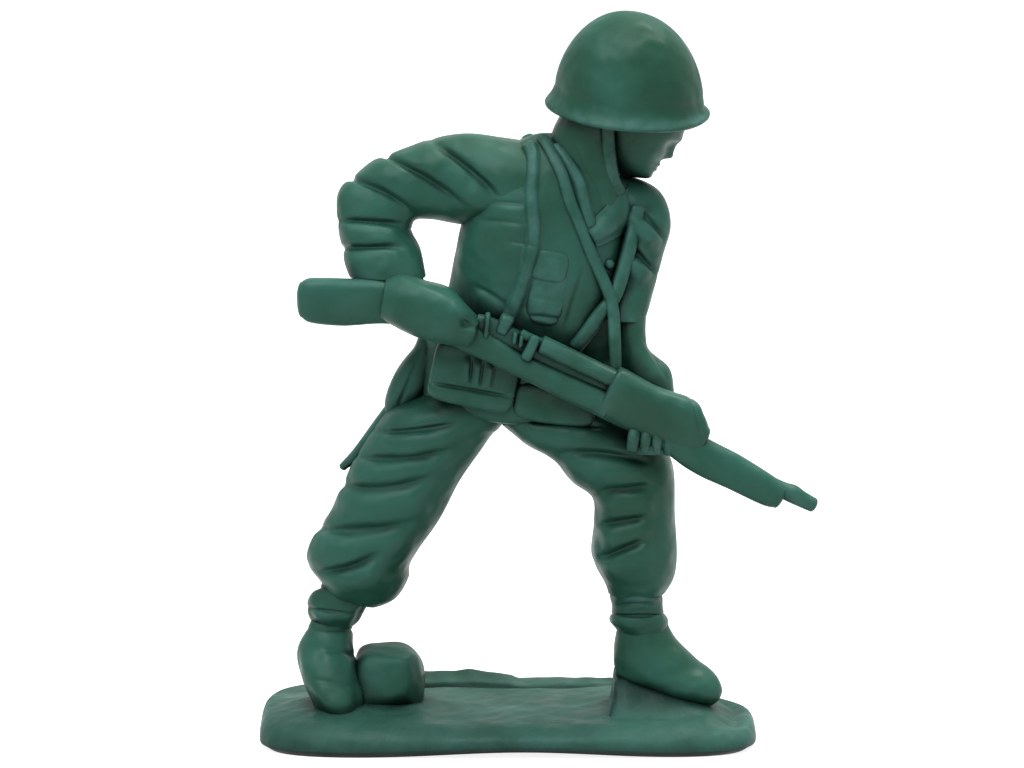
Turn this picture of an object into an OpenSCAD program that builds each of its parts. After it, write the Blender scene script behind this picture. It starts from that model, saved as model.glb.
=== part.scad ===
// Toy soldier advancing with a rifle, on a plain ground base, in one colour of plastic.
// The figure is divided into the pieces that a plug-together figure of this size has.
// X runs along the base, the chest faces -Y, and Z is up from the underside of the base.
// Figure points are measured from the middle of the ground, which is the top of the base.

/* [Base] */
// Length of the base plate
base_l = 35.6; // [33:0.1:44]
// Width of the base plate, front to back
base_w = 16; // [14:0.1:20]
// Thickness of the base plate
base_h = 2.2; // [1.8:0.1:4]
// How far the top edge of the base is drawn in
base_draft = 0.5; // [0.2:0.05:1]
// Height of the low bank along the back of the base
bank_h = 0.9; // [0.3:0.1:1.6]
// Height of the earth heaped under the front heel
mound_h = 2.9; // [1.5:0.1:3.5]

/* [Helmet] */
// Length of the helmet across its rim
helmet_l = 11.7; // [10:0.1:14]
// Width of the helmet across its rim
helmet_w = 10.4; // [9:0.1:13]
// Height of the crown over the rim
helmet_h = 7.4; // [6:0.1:9]
// How far the rim flares past the shell
rim_flare = 0.45; // [0.1:0.05:0.8]

/* [Clothing] */
// Depth of the folds moulded across sleeves and trousers
fold_depth = 0.16; // [0:0.02:0.3]
// Thickness of the jacket from front to back at the chest
chest_depth = 8.4; // [7:0.1:10]
// Width of the webbing straps
strap_w = 1.1; // [0.7:0.05:1.5]
// Height of the straps over the cloth
strap_t = 0.35; // [0.2:0.05:0.6]
// Size of the right ammunition pouch: width, thickness, height
right_pouch_size = [5.8, 1.5, 3.1]; // [1:0.1:8]
// Size of the left ammunition pouch: width, thickness, height
left_pouch_size = [6, 1.4, 2.7]; // [1:0.1:8]
// Size of the breast pocket: width, thickness, height
pocket_size = [2.2, 0.9, 5.2]; // [0.5:0.1:6]

/* [Rifle] */
// Thickness of the rifle stock from side to side
stock_t = 2.1; // [1.6:0.1:3]
// Thickness of the handguard from side to side
handguard_t = 2.7; // [2:0.1:3.4]
// Diameter of the bolt
bolt_d = 1.4; // [1:0.1:1.8]
// Diameter of the barrel at the muzzle
barrel_d = 1.1; // [0.8:0.1:1.4]

/* [Plugs] */
// Diameter of the round plugs that locate the pieces
plug_d = 1.2; // [0.8:0.1:1.6]
// Length of a plug in its socket
plug_l = 1.4; // [0.8:0.1:1.8]
// Gap all round between a plug and its socket
plug_gap = 0.05; // [0.02:0.01:0.1]

/* [Hidden] */

// One plastic for every piece, as the figure is shown
plastic = [0.20, 0.38, 0.33];

// Sides of a limb, of a small piece and of a strap
limb_sides = 16;
small_sides = 12;
strap_sides = 8;
// Overlap that is left to be cut away where one piece seats on another
sink = 0.4;

// Joints of the body that more than one piece shares
right_shoulder = [0.2, 0, 38.8];
right_elbow = [-9.4, -0.5, 37];
right_wrist = [-8.9, -2.6, 32.1];
left_shoulder = [9.2, 0, 38];
left_wrist = [8.2, -1.9, 29];
right_hip = [-3.2, 0, 21.9];
left_hip = [0.9, -0.1, 22.7];
right_ankle = [-12.8, 0, 6.1];
left_ankle = [9.6, -1, 6];
neck_root = [6.9, -0.2, 36.6];
helmet_seat = [8.6, -0.3, 44];

// Helmet turned with the head: nose down, and over towards the viewer
helmet_pitch = 5;
helmet_roll = 9;

// Heading and line of the rifle, from its grip to its muzzle
rifle_y = -5;
rifle_grip = [-3.2, rifle_y, 28.4];
rifle_heading = -26;

// Stations are point, heading of the piece in the XZ plane, half width and half depth

function station(p, heading, w, d) = [p.x, p.y, p.z, heading, w, d];
function between(a, b, share) = a + (b - a) * share;
function unit(v) = v / norm(v);
function along(p, heading, distance) = p + distance * [cos(heading), 0, sin(heading)];

// Point of a smooth curve that passes through every entry of a list
function spline(list, t) =
    let (
        i = min(floor(t), len(list) - 2),
        f = t - i,
        p0 = list[max(i - 1, 0)],
        p1 = list[i],
        p2 = list[i + 1],
        p3 = list[min(i + 2, len(list) - 1)]
    )
    0.5 * (2 * p1 + (p2 - p0) * f + (2 * p0 - 5 * p1 + 4 * p2 - p3) * f * f
        + (3 * p1 - p0 - 3 * p2 + p3) * f * f * f);

function smooth(list, steps) = [
    for (i = [0 : (len(list) - 1) * steps]) spline(list, i / steps)
];

// Rounded ring about a centre, with half axes u and v, that turns with the path along u x v
function ring(centre, u, v, sides, power) = [
    for (k = [0 : sides - 1])
        let (c = cos(360 * k / sides), s = sin(360 * k / sides))
        centre + u * sign(c) * pow(abs(c), 2 / power) + v * sign(s) * pow(abs(s), 2 / power)
];

function station_ring(s, sides, power) = ring(
    [s[0], s[1], s[2]], s[4] * [sin(s[3]), 0, -cos(s[3])], s[5] * [0, 1, 0], sides, power
);

// Cloth folds: the width and depth rise and fall along a list of stations
function folded(stations, count) = [
    for (i = [0 : len(stations) - 1])
        let (swell = fold_depth * sin(360 * count * i / (len(stations) - 1)))
        stations[i] + [0, 0, 0, 0, swell, swell]
];

// Closed skin over a list of rings
module skin(rings) {
    sides = len(rings[0]);
    last = len(rings) - 1;
    polyhedron(
        points = [for (r = rings) each r],
        faces = [
            [for (k = [0 : sides - 1]) k],
            for (i = [0 : last - 1], k = [0 : sides - 1])
                let (a = i * sides, b = a + sides, n = (k + 1) % sides)
                each [[a + k, b + k, b + n], [a + k, b + n, a + n]],
            [for (k = [sides - 1 : -1 : 0]) last * sides + k]
        ]
    );
}

module loft(stations, steps = 3, sides = limb_sides, power = 2) {
    skin([for (s = smooth(stations, steps)) station_ring(s, sides, power)]);
}

module cloth_loft(stations, steps, folds) {
    skin([for (s = folded(smooth(stations, steps), folds)) station_ring(s, limb_sides, 2)]);
}

// Strap of even width along points, lying flat against the outward directions given
module strap(points, outward, width, height) {
    last = len(points) - 1;
    skin([
        for (i = [0 : last])
            let (
                run = unit(points[min(i + 1, last)] - points[max(i - 1, 0)]),
                side = unit(cross(outward[i], run)),
                out = cross(run, side)
            )
            ring(points[i], side * width / 2, out * height, strap_sides, 4)
    ]);
}

// Block with soft corners, turned about Y
module soft_block(centre, size, turn) {
    stations = [
        for (z = [-0.5, -0.4, 0.4, 0.5])
            let (draw_in = abs(z) == 0.5 ? 0.8 : 1)
            [0, 0, z * size.z, 90, draw_in * size.x / 2, draw_in * size.y / 2]
    ];
    translate(centre) rotate([0, turn, 0])
        skin([for (s = stations) station_ring(s, small_sides, 5)]);
}

// A plug is a point and the direction it points: the peg starts inside its own piece
module turned_to(direction) {
    rotate([0, acos(direction.z / norm(direction)), atan2(direction.y, direction.x)]) children();
}

module peg(plug) {
    translate(plug[0]) turned_to(plug[1])
        translate([0, 0, -plug_l]) cylinder(d = plug_d, h = 2 * plug_l, $fn = 32);
}

module socket(plug) {
    translate(plug[0]) turned_to(plug[1])
        translate([0, 0, -plug_l])
            cylinder(d = plug_d + 2 * plug_gap, h = 2 * plug_l + plug_gap, $fn = 32);
}

right_boot_plug = [[-12.6, -1.4, 0], [0, 0, -1]];
left_boot_plug = [[9.6, -1.2, mound_h - 1], [0, 0, -1]];
neck_plug = [neck_root + [0, 0, -0.6], [0, 0, -1]];
right_shoulder_plug = [right_shoulder + [-0.6, 0, 0], [1, 0, 0]];
left_shoulder_plug = [left_shoulder + [-1.2, -0.4, -4.4], [-1, 0, 0]];
right_wrist_plug = [right_wrist + [1.2, -0.3, 0.2], [0, 0, 1]];
left_wrist_plug = [left_wrist + [0.6, -0.2, -0.2], [0, 0, 1]];

// Sections of the body pieces

jacket_stations = [
    station([0.3, 0, 22.4], 80, 6, 3.5),
    station([0.4, 0, 25.4], 80, 6.3, 3.6),
    station([1.6, 0, 28.9], 80, 6, 0.46 * chest_depth),
    station([2.1, -0.1, 32], 79, 5.9, 0.49 * chest_depth),
    station([2.5, -0.1, 34.6], 79, 5.9, 0.5 * chest_depth),
    station([3.3, -0.1, 37.6], 78, 5.5, 0.46 * chest_depth),
    station([4.3, 0, 39.7], 74, 4.7, 0.4 * chest_depth),
    station([4.8, 0, 40.8], 68, 3.4, 0.32 * chest_depth),
    station([5, 0, 41.3], 64, 2.2, 0.24 * chest_depth)
];

// Point on the jacket: station number, and share of the half width to the right on its front
function jacket_front(s, share) =
    let (j = spline(jacket_stations, s))
    [
        j[0] + j[4] * share * sin(j[3]),
        j[1] - j[5] * sqrt(1 - share * share),
        j[2] - j[4] * share * cos(j[3])
    ];
function jacket_outward(s, share) =
    let (j = spline(jacket_stations, s))
    unit([share / j[4], -sqrt(1 - share * share) / j[5], 0]);

module jacket_form() loft(jacket_stations, 2, 24);

module seat_form() {
    loft([
        station([-0.4, 0, 20.7], 86, 1.4, 1.8),
        station([-0.3, 0, 21.3], 84, 4, 2.9),
        station([0, 0, 22.4], 82, 5.5, 3.3),
        station([0.4, 0, 24], 82, 5.7, 3.4)
    ], 2, 20);
}

module right_leg_form() {
    cloth_loft([
        station(right_hip, 246, 3.3, 3),
        station([-4.9, 0, 20.9], 256, 4, 3.2),
        station([-7.3, 0, 17.3], 260, 4.1, 3.1),
        station([-8.9, 0, 14.2], 263, 3.95, 3),
        station([-10.6, 0, 11.3], 263, 3.85, 3),
        station([-10.9, 0, 9.9], 262, 3.55, 2.8),
        station([-11, 0, 8.5], 256, 2.7, 2.3),
        station([-11.7, 0, 7.8], 250, 1.3, 1.4)
    ], 4, 6);
}

module left_leg_form() {
    cloth_loft([
        station(left_hip, 325, 2.6, 3),
        station([3.1, -0.3, 21.7], 310, 3.1, 3.1),
        station([5.5, -0.7, 20.3], 299, 3.3, 3.1),
        station([7.7, -1, 18.6], 300, 3.4, 3.1),
        station([9, -1, 16.9], 293, 3.1, 3),
        station([9.1, -1, 14.1], 279, 2.95, 2.9),
        station([9.1, -1, 11.2], 268, 3.05, 2.9),
        station([9.3, -1, 9.6], 270, 2.5, 2.4),
        station([9.3, -1, 8.3], 270, 1.6, 1.6)
    ], 4, 6);
}

module right_gaiter_form() {
    loft([
        station([-11.8, 0, 8.4], 246, 1.7, 1.8),
        station([-12.1, 0, 8], 248, 1.9, 1.9),
        station([-12.7, 0, 7.1], 258, 1.95, 2),
        station(right_ankle, 265, 1.55, 1.7),
        station(right_ankle + [-0.1, 0, -0.6], 266, 1.2, 1.4)
    ], 2, small_sides);
}

module left_gaiter_form() {
    loft([
        station([9.3, -1, 8.9], 268, 1.9, 1.9),
        station([9.3, -1, 7.7], 270, 1.75, 1.8),
        station([9.4, -1, 6.7], 271, 2.05, 2),
        station(left_ankle, 272, 1.9, 1.9),
        station(left_ankle + [0.1, 0, -0.7], 274, 1.6, 1.6)
    ], 2, small_sides);
}

module right_boot_form() {
    loft([
        station(right_ankle + [0, 0, 0.1], 265, 1.4, 1.6),
        station([-13.2, -0.3, 4.8], 268, 1.75, 2),
        station([-13.2, -0.8, 3.5], 270, 2, 2.4),
        station([-12.9, -1.5, 2.1], 272, 1.95, 2.6),
        station([-12.5, -2, 0.9], 274, 1.85, 2.6),
        station([-12.3, -2.2, -sink], 276, 1.6, 2.3)
    ], 3, limb_sides);
}

module left_boot_form() {
    loft([
        station(left_ankle + [0, 0, 0.1], 272, 1.75, 1.8),
        station([10, -1, 4.8], 276, 2.45, 2.1),
        station([10.5, -1.1, 3.7], 281, 2.9, 2.3),
        station([11.8, -1.3, 2.5], 284, 2.6, 2.3),
        station([13.2, -1.5, 1.6], 290, 2, 2.1),
        station([14.2, -1.6, 0.9], 294, 1.3, 1.6),
        station([14.6, -1.6, 0.5], 296, 0.7, 0.9)
    ], 3, limb_sides);
}

module right_sleeve_form() {
    cloth_loft([
        station(right_shoulder, 170, 3, 2.6),
        station([-3.1, 0, 39], 175, 3.1, 2.6),
        station([-5.6, -0.2, 38.9], 181, 2.8, 2.5),
        station([-7.6, -0.3, 38.4], 200, 2.65, 2.5),
        station(right_elbow, 236, 2.8, 2.5),
        station([-9.7, -0.9, 35.8], 252, 2.85, 2.5),
        station([-9.4, -1.6, 34.2], 264, 2.75, 2.4),
        station(right_wrist, 269, 2.75, 2.3)
    ], 4, 6);
}

module left_sleeve_form() {
    cloth_loft([
        station(left_shoulder + [-1.2, 0, 0.4], 330, 1.2, 1.9),
        station(left_shoulder + [0.2, 0, -0.6], 296, 2, 2.3),
        station([9.7, -0.1, 35.6], 275, 2, 2.4),
        station([9.2, -0.4, 33.4], 263, 1.9, 2.3),
        station([8.5, -1.3, 30.3], 264, 1.75, 2.1),
        station(left_wrist, 266, 1.65, 1.9)
    ], 4, 5);
}

module right_hand_form() {
    loft([
        station(right_wrist + [1.3, -0.4, 0.5], 270, 1.4, 1.3),
        station([-7.3, -3.8, 31.2], 279, 1.85, 1.7),
        station([-6.4, -4.5, 30.2], 291, 2.05, 2),
        station([-5.2, -4.9, 29.3], 300, 2, 2.1),
        station([-3.8, -5.1, 28.6], 307, 1.6, 1.9),
        station([-2.8, -5.1, 28.1], 313, 0.9, 1.2)
    ], 2, small_sides);
}

// Left hand: the palm comes down behind the handguard, and the fingers close in front of it
left_finger_d = 0.76;
left_finger_pitch = 0.74;
left_fingers = 4;
left_finger_first = [9, rifle_y - 1.4, 20.2];

module left_hand_form() {
    loft([
        station(left_wrist + [0.6, -0.2, 0.2], 270, 1.1, 1.3),
        station([9, -2.6, 27.1], 268, 1.2, 1.3),
        station([9.6, -3, 25.2], 282, 1.5, 1.3),
        station([10.2, -3.3, 23.4], 284, 1.5, 1.3),
        station([10.3, -3.8, 21.6], 272, 1.6, 1.4),
        station([10.2, -4.6, 20.1], 270, 1.5, 1.7),
        station([10.2, -5.2, 19.7], 270, 1.2, 1.3)
    ], 2, small_sides);
    for (i = [0 : left_fingers - 1]) {
        tip = left_finger_first + [i * left_finger_pitch, 0, 0];
        loft([
            station(tip + [0, 0, 0.9], 270, 0.3 * left_finger_d, 0.3 * left_finger_d),
            station(tip + [0, 0, 0.6], 270, 0.5 * left_finger_d, 0.55 * left_finger_d),
            station(tip + [0, 0.2, 0], 270, 0.5 * left_finger_d, 0.7 * left_finger_d),
            station(tip + [0, 0.9, -0.5], 270, 0.4 * left_finger_d, 1.1 * left_finger_d)
        ], 1, strap_sides);
    }
}

module head_form() {
    // skull, face and chin, bowed to the right
    loft([
        station([8.4, -0.3, 48.4], 272, 1.6, 1.6),
        station([8.5, -0.3, 47.2], 274, 3.4, 3.1),
        station([8.6, -0.3, 44.6], 276, 4.1, 3.6),
        station([9.4, -0.3, 42.2], 278, 2.9, 3),
        station([9.5, -0.3, 40.4], 272, 1.8, 2.4),
        station([9.5, -0.3, 39.3], 268, 1.1, 1.6),
        station([9.4, -0.3, 38.9], 268, 0.6, 0.9)
    ], 2, limb_sides);
    // nose
    loft([
        station([11.3, -0.3, 42.4], 262, 0.3, 0.3),
        station([11.3, -0.3, 41.6], 262, 0.6, 0.55),
        station([10.9, -0.3, 41.1], 262, 0.4, 0.4)
    ], 2, strap_sides);
    // neck
    loft([
        station([6.2, -0.1, 43.6], 282, 1.9, 2.4),
        station([6.3, -0.1, 41.5], 278, 2.1, 2.5),
        station([6.6, -0.2, 39.5], 274, 2, 2.4),
        station(neck_root, 272, 1.9, 2.2)
    ], 2, limb_sides);
}

// Helmet: a domed shell over a flared rim, filled to the head inside
dome_power = 2.15;

module helmet_form() {
    crown_steps = 7;
    shell_l = helmet_l / 2 - rim_flare;
    shell_w = helmet_w / 2 - rim_flare;
    rim = [
        [0, 0, -0.4, 90, shell_l - 0.2, shell_w - 0.2],
        [0, 0, -0.3, 90, helmet_l / 2 - 0.1, helmet_w / 2 - 0.1],
        [0, 0, 0, 90, helmet_l / 2, helmet_w / 2],
        [0, 0, 0.4, 90, helmet_l / 2 - 0.15, helmet_w / 2 - 0.15]
    ];
    dome = [
        for (i = [0 : crown_steps])
            let (
                rise = sin(90 * (0.11 + 0.87 * i / crown_steps)),
                spread = pow(1 - pow(rise, dome_power), 1 / dome_power)
            )
            [0, 0, helmet_h * rise, 90, shell_l * spread, shell_w * spread]
    ];
    translate(helmet_seat) rotate([helmet_roll, helmet_pitch, 0])
        skin([for (s = concat(rim, dome)) station_ring(s, 24, 2)]);
}

module bayonet_frog_form() {
    loft([
        station([-6, 0.2, 27.4], 243, 0.9, 1.2),
        station([-6.4, 0.2, 26.2], 241, 1.2, 1.4),
        station([-7.3, 0.3, 24.1], 243, 1.3, 1.4),
        station([-8.2, 0.4, 22.4], 240, 0.9, 1.1),
        station([-8.8, 0.4, 21.7], 236, 0.5, 0.8)
    ], 2, small_sides);
}

module bayonet_scabbard_form() {
    loft([
        station([-8.2, 0.5, 22.8], 236, 0.55, 0.8),
        station([-9.6, 0.6, 20.9], 234, 0.55, 0.8),
        station([-11.2, 0.8, 18.8], 232, 0.5, 0.7),
        station([-12.1, 0.9, 17.7], 230, 0.25, 0.4)
    ], 2, strap_sides);
}

// Rifle pieces, from the butt to the muzzle

function rifle_at(distance, rise = 0) =
    along(along(rifle_grip, rifle_heading, distance), rifle_heading + 90, rise);

module stock_form() {
    half = stock_t / 2;
    loft([
        station([-15.3, -4.2, 30.9], 0, 0.7, 0.55 * half),
        station([-15, -4.2, 30.9], 0, 1.2, 0.85 * half),
        station([-14.3, -4.2, 30.8], 0, 1.6, half),
        station([-11.8, -4.3, 30.7], 0, 1.7, half),
        station([-8.7, -4.5, 30.7], -2, 1.5, half),
        station([-6, -4.8, 29.9], -18, 1.15, half),
        station(rifle_grip, rifle_heading, 1.1, 0.9 * half),
        station(rifle_at(4.6), rifle_heading, 1, half),
        station(rifle_at(8), rifle_heading, 1.05, half),
        station(rifle_at(11.6), rifle_heading, 1.2, half)
    ], 2, small_sides, 2.6);
}

module handguard_form() {
    half = handguard_t / 2;
    loft([
        station(rifle_at(11, 0.8), rifle_heading, 1.75, 0.9 * half),
        station(rifle_at(11.5, 0.8), rifle_heading, 2, half),
        station(rifle_at(14, 0.75), rifle_heading, 1.95, half),
        station(rifle_at(17.2, 1), rifle_heading, 2.1, half),
        station(rifle_at(18.5, 0.6), rifle_heading, 1.7, 0.85 * half),
        station(rifle_at(19, 0.2), rifle_heading, 1.1, 0.6 * half)
    ], 2, small_sides, 2.8);
}

module fore_end_form() {
    half = 0.36 * handguard_t;
    loft([
        station(rifle_at(17.6, -0.3), rifle_heading, 1.2, half),
        station(rifle_at(19.2, -0.3), rifle_heading, 1.25, half),
        station(rifle_at(21.8, -0.3), rifle_heading, 1.2, half),
        station(rifle_at(24.4, -0.4), rifle_heading, 1.05, 0.9 * half),
        station(rifle_at(25.2, -0.4), rifle_heading, 0.85, 0.75 * half)
    ], 2, small_sides, 2.4);
}

barrel_rear = rifle_at(23, -0.1);
barrel_tip = rifle_at(28.4, -0.1);

module barrel_form(gap = 0) {
    translate(barrel_rear) turned_to(barrel_tip - barrel_rear)
        cylinder(d = barrel_d + 2 * gap, h = norm(barrel_tip - barrel_rear), $fn = 32);
}

module receiver_form() {
    loft([
        station(rifle_at(0.4, 0.9), rifle_heading, 0.9, 0.7),
        station(rifle_at(2, 1), rifle_heading, 1, 0.75),
        station(rifle_at(7, 0.9), rifle_heading, 0.95, 0.75),
        station(rifle_at(12, 0.9), rifle_heading, 0.9, 0.75)
    ], 1, strap_sides, 4);
}

bolt_front = rifle_at(12, 1.75);
bolt_rear = rifle_at(5.3, 1.75);

module bolt_form() {
    knob_l = 1.6;
    translate(bolt_rear + [0, -0.35, 0]) turned_to(bolt_front - bolt_rear) {
        cylinder(d = bolt_d, h = norm(bolt_front - bolt_rear), $fn = 32);
        translate([0, 0, -knob_l]) cylinder(d = 0.65 * bolt_d, h = knob_l + sink, $fn = 32);
    }
}

module bolt_handle_form() {
    points = [
        rifle_at(5.2, 1.9) + [0, -0.6, 0],
        rifle_at(4.8, 1) + [0, -0.9, 0],
        rifle_at(4.4, 0.1) + [0, -stock_t / 2 - 0.05, 0]
    ];
    strap(points, [for (p = points) [0, -1, 0]], 0.9, 0.4);
}

module rear_sight_form() {
    soft_block(rifle_at(2.3, 1.9), [1, 1.5, 1.5], -rifle_heading);
}

// Webbing

function strap_points(route) = [for (r = smooth(route, 4)) jacket_front(r[0], r[1])];
function strap_outward(route) = [for (r = smooth(route, 4)) jacket_outward(r[0], r[1])];

// Routes over the jacket's front: station number and share of the half width
brace_route = [[1.4, -0.3], [2, -0.29], [3, -0.21], [4.1, -0.15], [5, -0.29], [6.2, -0.62], [7, -0.9]];
sling_route = [[7.2, -0.75], [6.4, -0.28], [5.3, 0.17], [4.5, 0.48], [3.75, 0.7]];
right_lapel_route = [[7.2, -0.4], [6.1, 0.1], [5.4, 0.35], [4.65, 0.56]];
left_lapel_route = [[4.6, 0.62], [5.1, 0.8], [5.6, 0.94]];
pocket_at = [2.9, 0.12];
button_at = [3.8, 0.84];

// The cross strap leaves the jacket and lies over the inside of the left sleeve
cross_points = [
    [4.6, -3.1, 26.8],
    [5.5, -3.1, 28],
    [6.5, -3.1, 29.3],
    [7.6, -3, 30.8],
    [8.5, -2.6, 33.4],
    [9.1, -2.3, 35.9]
];

module route_strap(route, width, height) {
    strap(strap_points(route), strap_outward(route), width, height);
}

module brace_form() route_strap(brace_route, strap_w, strap_t);
module cross_strap_form() {
    points = smooth(cross_points, 3);
    strap(points, [for (p = points) [0.35, -1, 0]], 1.1 * strap_w, 1.2 * strap_t);
}
module right_lapel_form() route_strap(right_lapel_route, 1.2, 0.4);
module left_lapel_form() route_strap(left_lapel_route, 1.9, 0.4);

// The sling follows the chest, then hangs free to the rifle's receiver
module sling_form() {
    sling_end = rifle_at(11.3, 2.2);
    sling_start = jacket_front(3.75, 0.7);
    free_points = [
        for (f = [0.25, 0.5, 0.75, 1])
            between(sling_start, sling_end, f) + [0.5, -0.9, 0] * sin(180 * f)
    ];
    points = concat(strap_points(sling_route), free_points);
    strap(points, concat(strap_outward(sling_route), [for (p = free_points) [0.3, -1, 0]]), strap_w, strap_t);
}

module pocket_form() {
    soft_block(jacket_front(pocket_at[0], pocket_at[1]), pocket_size, 10);
}

module button_form() {
    translate(jacket_front(button_at[0], button_at[1])) turned_to(jacket_outward(button_at[0], button_at[1]))
        cylinder(d = 0.8, h = 0.35, $fn = 24);
}

belt_station = 1.15;
belt_h = 1.1;

module belt_form() {
    middle = spline(jacket_stations, belt_station);
    grow = [0, 0, 0, 0, 0.3, 0.3];
    lift = [0, 0, belt_h / 2, 0, 0, 0];
    skin([
        for (s = [middle - lift, middle - 0.8 * lift + grow, middle + 0.8 * lift + grow, middle + lift])
            station_ring(s, 24, 2)
    ]);
}

// Pouches hang below the belt on the front of the jacket
module right_pouch_form() {
    soft_block(jacket_front(0.72, -0.5) + [0, -0.1, 0], right_pouch_size, 14);
}

module left_pouch_form() {
    soft_block(jacket_front(0.4, 0.54) + [0, -0.1, 0], left_pouch_size, 10);
}

// Ground

module base_form() {
    loft([
        [0, 0, -base_h, 90, base_l / 2 - 0.4 * base_draft, base_w / 2 - 0.4 * base_draft],
        [0, 0, -base_h / 2, 90, base_l / 2, base_w / 2],
        [0, 0, -base_h / 4, 90, base_l / 2 - 0.3 * base_draft, base_w / 2 - 0.3 * base_draft],
        [0, 0, 0, 90, base_l / 2 - base_draft, base_w / 2 - base_draft]
    ], 1, 48, 2.7);
    bank_form();
    mound_form();
}

module bank_form() {
    bank_y = base_w / 2 - base_draft - 1.1;
    loft([
        for (b = [[-8, 0.1], [-6.5, 1], [-3, 0.9], [0, 0.8], [1, 0.5], [4, 0.55], [7.4, 0.6], [8.6, 0.1]])
            [b[0], bank_y, (b[1] * bank_h - sink) / 2, 0, (b[1] * bank_h + sink) / 2, 0.9]
    ], 1, small_sides, 3);
}

module mound_form() {
    loft([
        for (m = [[7, 0.7], [7.4, 0.95], [8.4, 1], [10.5, 0.76], [12.5, 0.45], [14.5, 0.2], [16, 0.03]])
            [m[0], -1.3, (m[1] * mound_h - sink) / 2, 0, (m[1] * mound_h + sink) / 2, 2.7]
    ], 1, small_sides, 3);
}

module rock_form() {
    loft([
        station([-8.6, -0.4, -sink], 90, 2.1, 1.9),
        station([-8.6, -0.4, 0.6], 90, 2.3, 2.1),
        station([-8.7, -0.3, 1.3], 90, 2.5, 2.3),
        station([-8.7, -0.2, 3.6], 92, 2.3, 1.9),
        station([-8.7, 0, 4.4], 92, 1.8, 1.3),
        station([-8.8, 0, 4.65], 92, 1, 0.8)
    ], 1, small_sides, 4);
}

// Pieces: each is cut back to what it seats on

module on_ground() {
    color(plastic) translate([0, 0, base_h]) children();
}

module base() {
    on_ground() difference() {
        base_form();
        socket(right_boot_plug);
        socket(left_boot_plug);
    }
}

module rock() {
    on_ground() difference() {
        rock_form();
        base_form();
    }
}

module right_boot() {
    on_ground() {
        difference() {
            right_boot_form();
            base_form();
            rock_form();
        }
        peg(right_boot_plug);
    }
}

module left_boot() {
    on_ground() {
        difference() {
            left_boot_form();
            base_form();
        }
        peg(left_boot_plug);
    }
}

module right_gaiter() {
    on_ground() difference() {
        right_gaiter_form();
        right_boot_form();
        right_leg_form();
    }
}

module left_gaiter() {
    on_ground() difference() {
        left_gaiter_form();
        left_boot_form();
        left_leg_form();
    }
}

module right_trouser_leg() {
    on_ground() difference() {
        right_leg_form();
        seat_form();
        jacket_form();
    }
}

module left_trouser_leg() {
    on_ground() difference() {
        left_leg_form();
        seat_form();
        jacket_form();
        right_leg_form();
        left_hand_form();
        handguard_form();
    }
}

module trouser_seat() {
    on_ground() difference() {
        seat_form();
        jacket_form();
    }
}

module jacket() {
    on_ground() difference() {
        jacket_form();
        head_form();
        socket(neck_plug);
        socket(right_shoulder_plug);
        socket(left_shoulder_plug);
    }
}

module belt() {
    on_ground() difference() {
        belt_form();
        jacket_form();
        right_hand_form();
    }
}

module right_pouch() {
    on_ground() difference() {
        right_pouch_form();
        jacket_form();
        belt_form();
        right_leg_form();
        stock_form();
        receiver_form();
    }
}

module left_pouch() {
    on_ground() difference() {
        left_pouch_form();
        jacket_form();
        belt_form();
        right_pouch_form();
        left_leg_form();
        seat_form();
        stock_form();
    }
}

module breast_pocket() {
    on_ground() difference() {
        pocket_form();
        jacket_form();
    }
}

module jacket_button() {
    on_ground() difference() {
        button_form();
        jacket_form();
        left_sleeve_form();
    }
}

module right_lapel() {
    on_ground() difference() {
        right_lapel_form();
        jacket_form();
        head_form();
    }
}

module left_lapel() {
    on_ground() difference() {
        left_lapel_form();
        jacket_form();
        left_sleeve_form();
        head_form();
        right_lapel_form();
    }
}

module right_brace() {
    on_ground() difference() {
        brace_form();
        jacket_form();
        right_sleeve_form();
        pocket_form();
        sling_form();
    }
}

module rifle_sling() {
    on_ground() difference() {
        sling_form();
        jacket_form();
        right_lapel_form();
        head_form();
        handguard_form();
        bolt_form();
        button_form();
        left_sleeve_form();
        left_hand_form();
    }
}

module cross_strap() {
    on_ground() difference() {
        cross_strap_form();
        jacket_form();
        left_lapel_form();
        sling_form();
        left_sleeve_form();
    }
}

module right_sleeve() {
    on_ground() {
        difference() {
            right_sleeve_form();
            jacket_form();
            right_hand_form();
            stock_form();
            socket(right_wrist_plug);
        }
        peg(right_shoulder_plug);
    }
}

module left_sleeve() {
    on_ground() {
        difference() {
            left_sleeve_form();
            jacket_form();
            left_hand_form();
            head_form();
            socket(left_wrist_plug);
        }
        peg(left_shoulder_plug);
    }
}

module right_hand() {
    on_ground() {
        difference() {
            right_hand_form();
            stock_form();
            receiver_form();
        }
        peg(right_wrist_plug);
    }
}

module left_hand() {
    on_ground() {
        difference() {
            left_hand_form();
            handguard_form();
            stock_form();
        }
        peg(left_wrist_plug);
    }
}

module head() {
    on_ground() {
        head_form();
        peg(neck_plug);
    }
}

module helmet() {
    on_ground() difference() {
        helmet_form();
        head_form();
    }
}

// Strap from under the rim to the chin, on the near cheek
module chin_strap() {
    points = [[8.6, -3.9, 43.2], [8.7, -3.4, 41.8], [9, -2.6, 40.4], [9.4, -1.6, 39.4]];
    outward = [for (p = points) unit(p - [9.2, -0.3, 41.5])];
    on_ground() difference() {
        strap(smooth(points, 2), smooth(outward, 2), 0.8, 0.4);
        head_form();
        helmet_form();
    }
}

module bayonet_frog() {
    on_ground() difference() {
        bayonet_frog_form();
        jacket_form();
        belt_form();
        right_leg_form();
        seat_form();
        right_pouch_form();
    }
}

module bayonet_scabbard() {
    on_ground() difference() {
        bayonet_scabbard_form();
        bayonet_frog_form();
        right_leg_form();
    }
}

module rifle_stock() {
    on_ground() stock_form();
}

module rifle_handguard() {
    on_ground() difference() {
        handguard_form();
        stock_form();
    }
}

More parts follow.
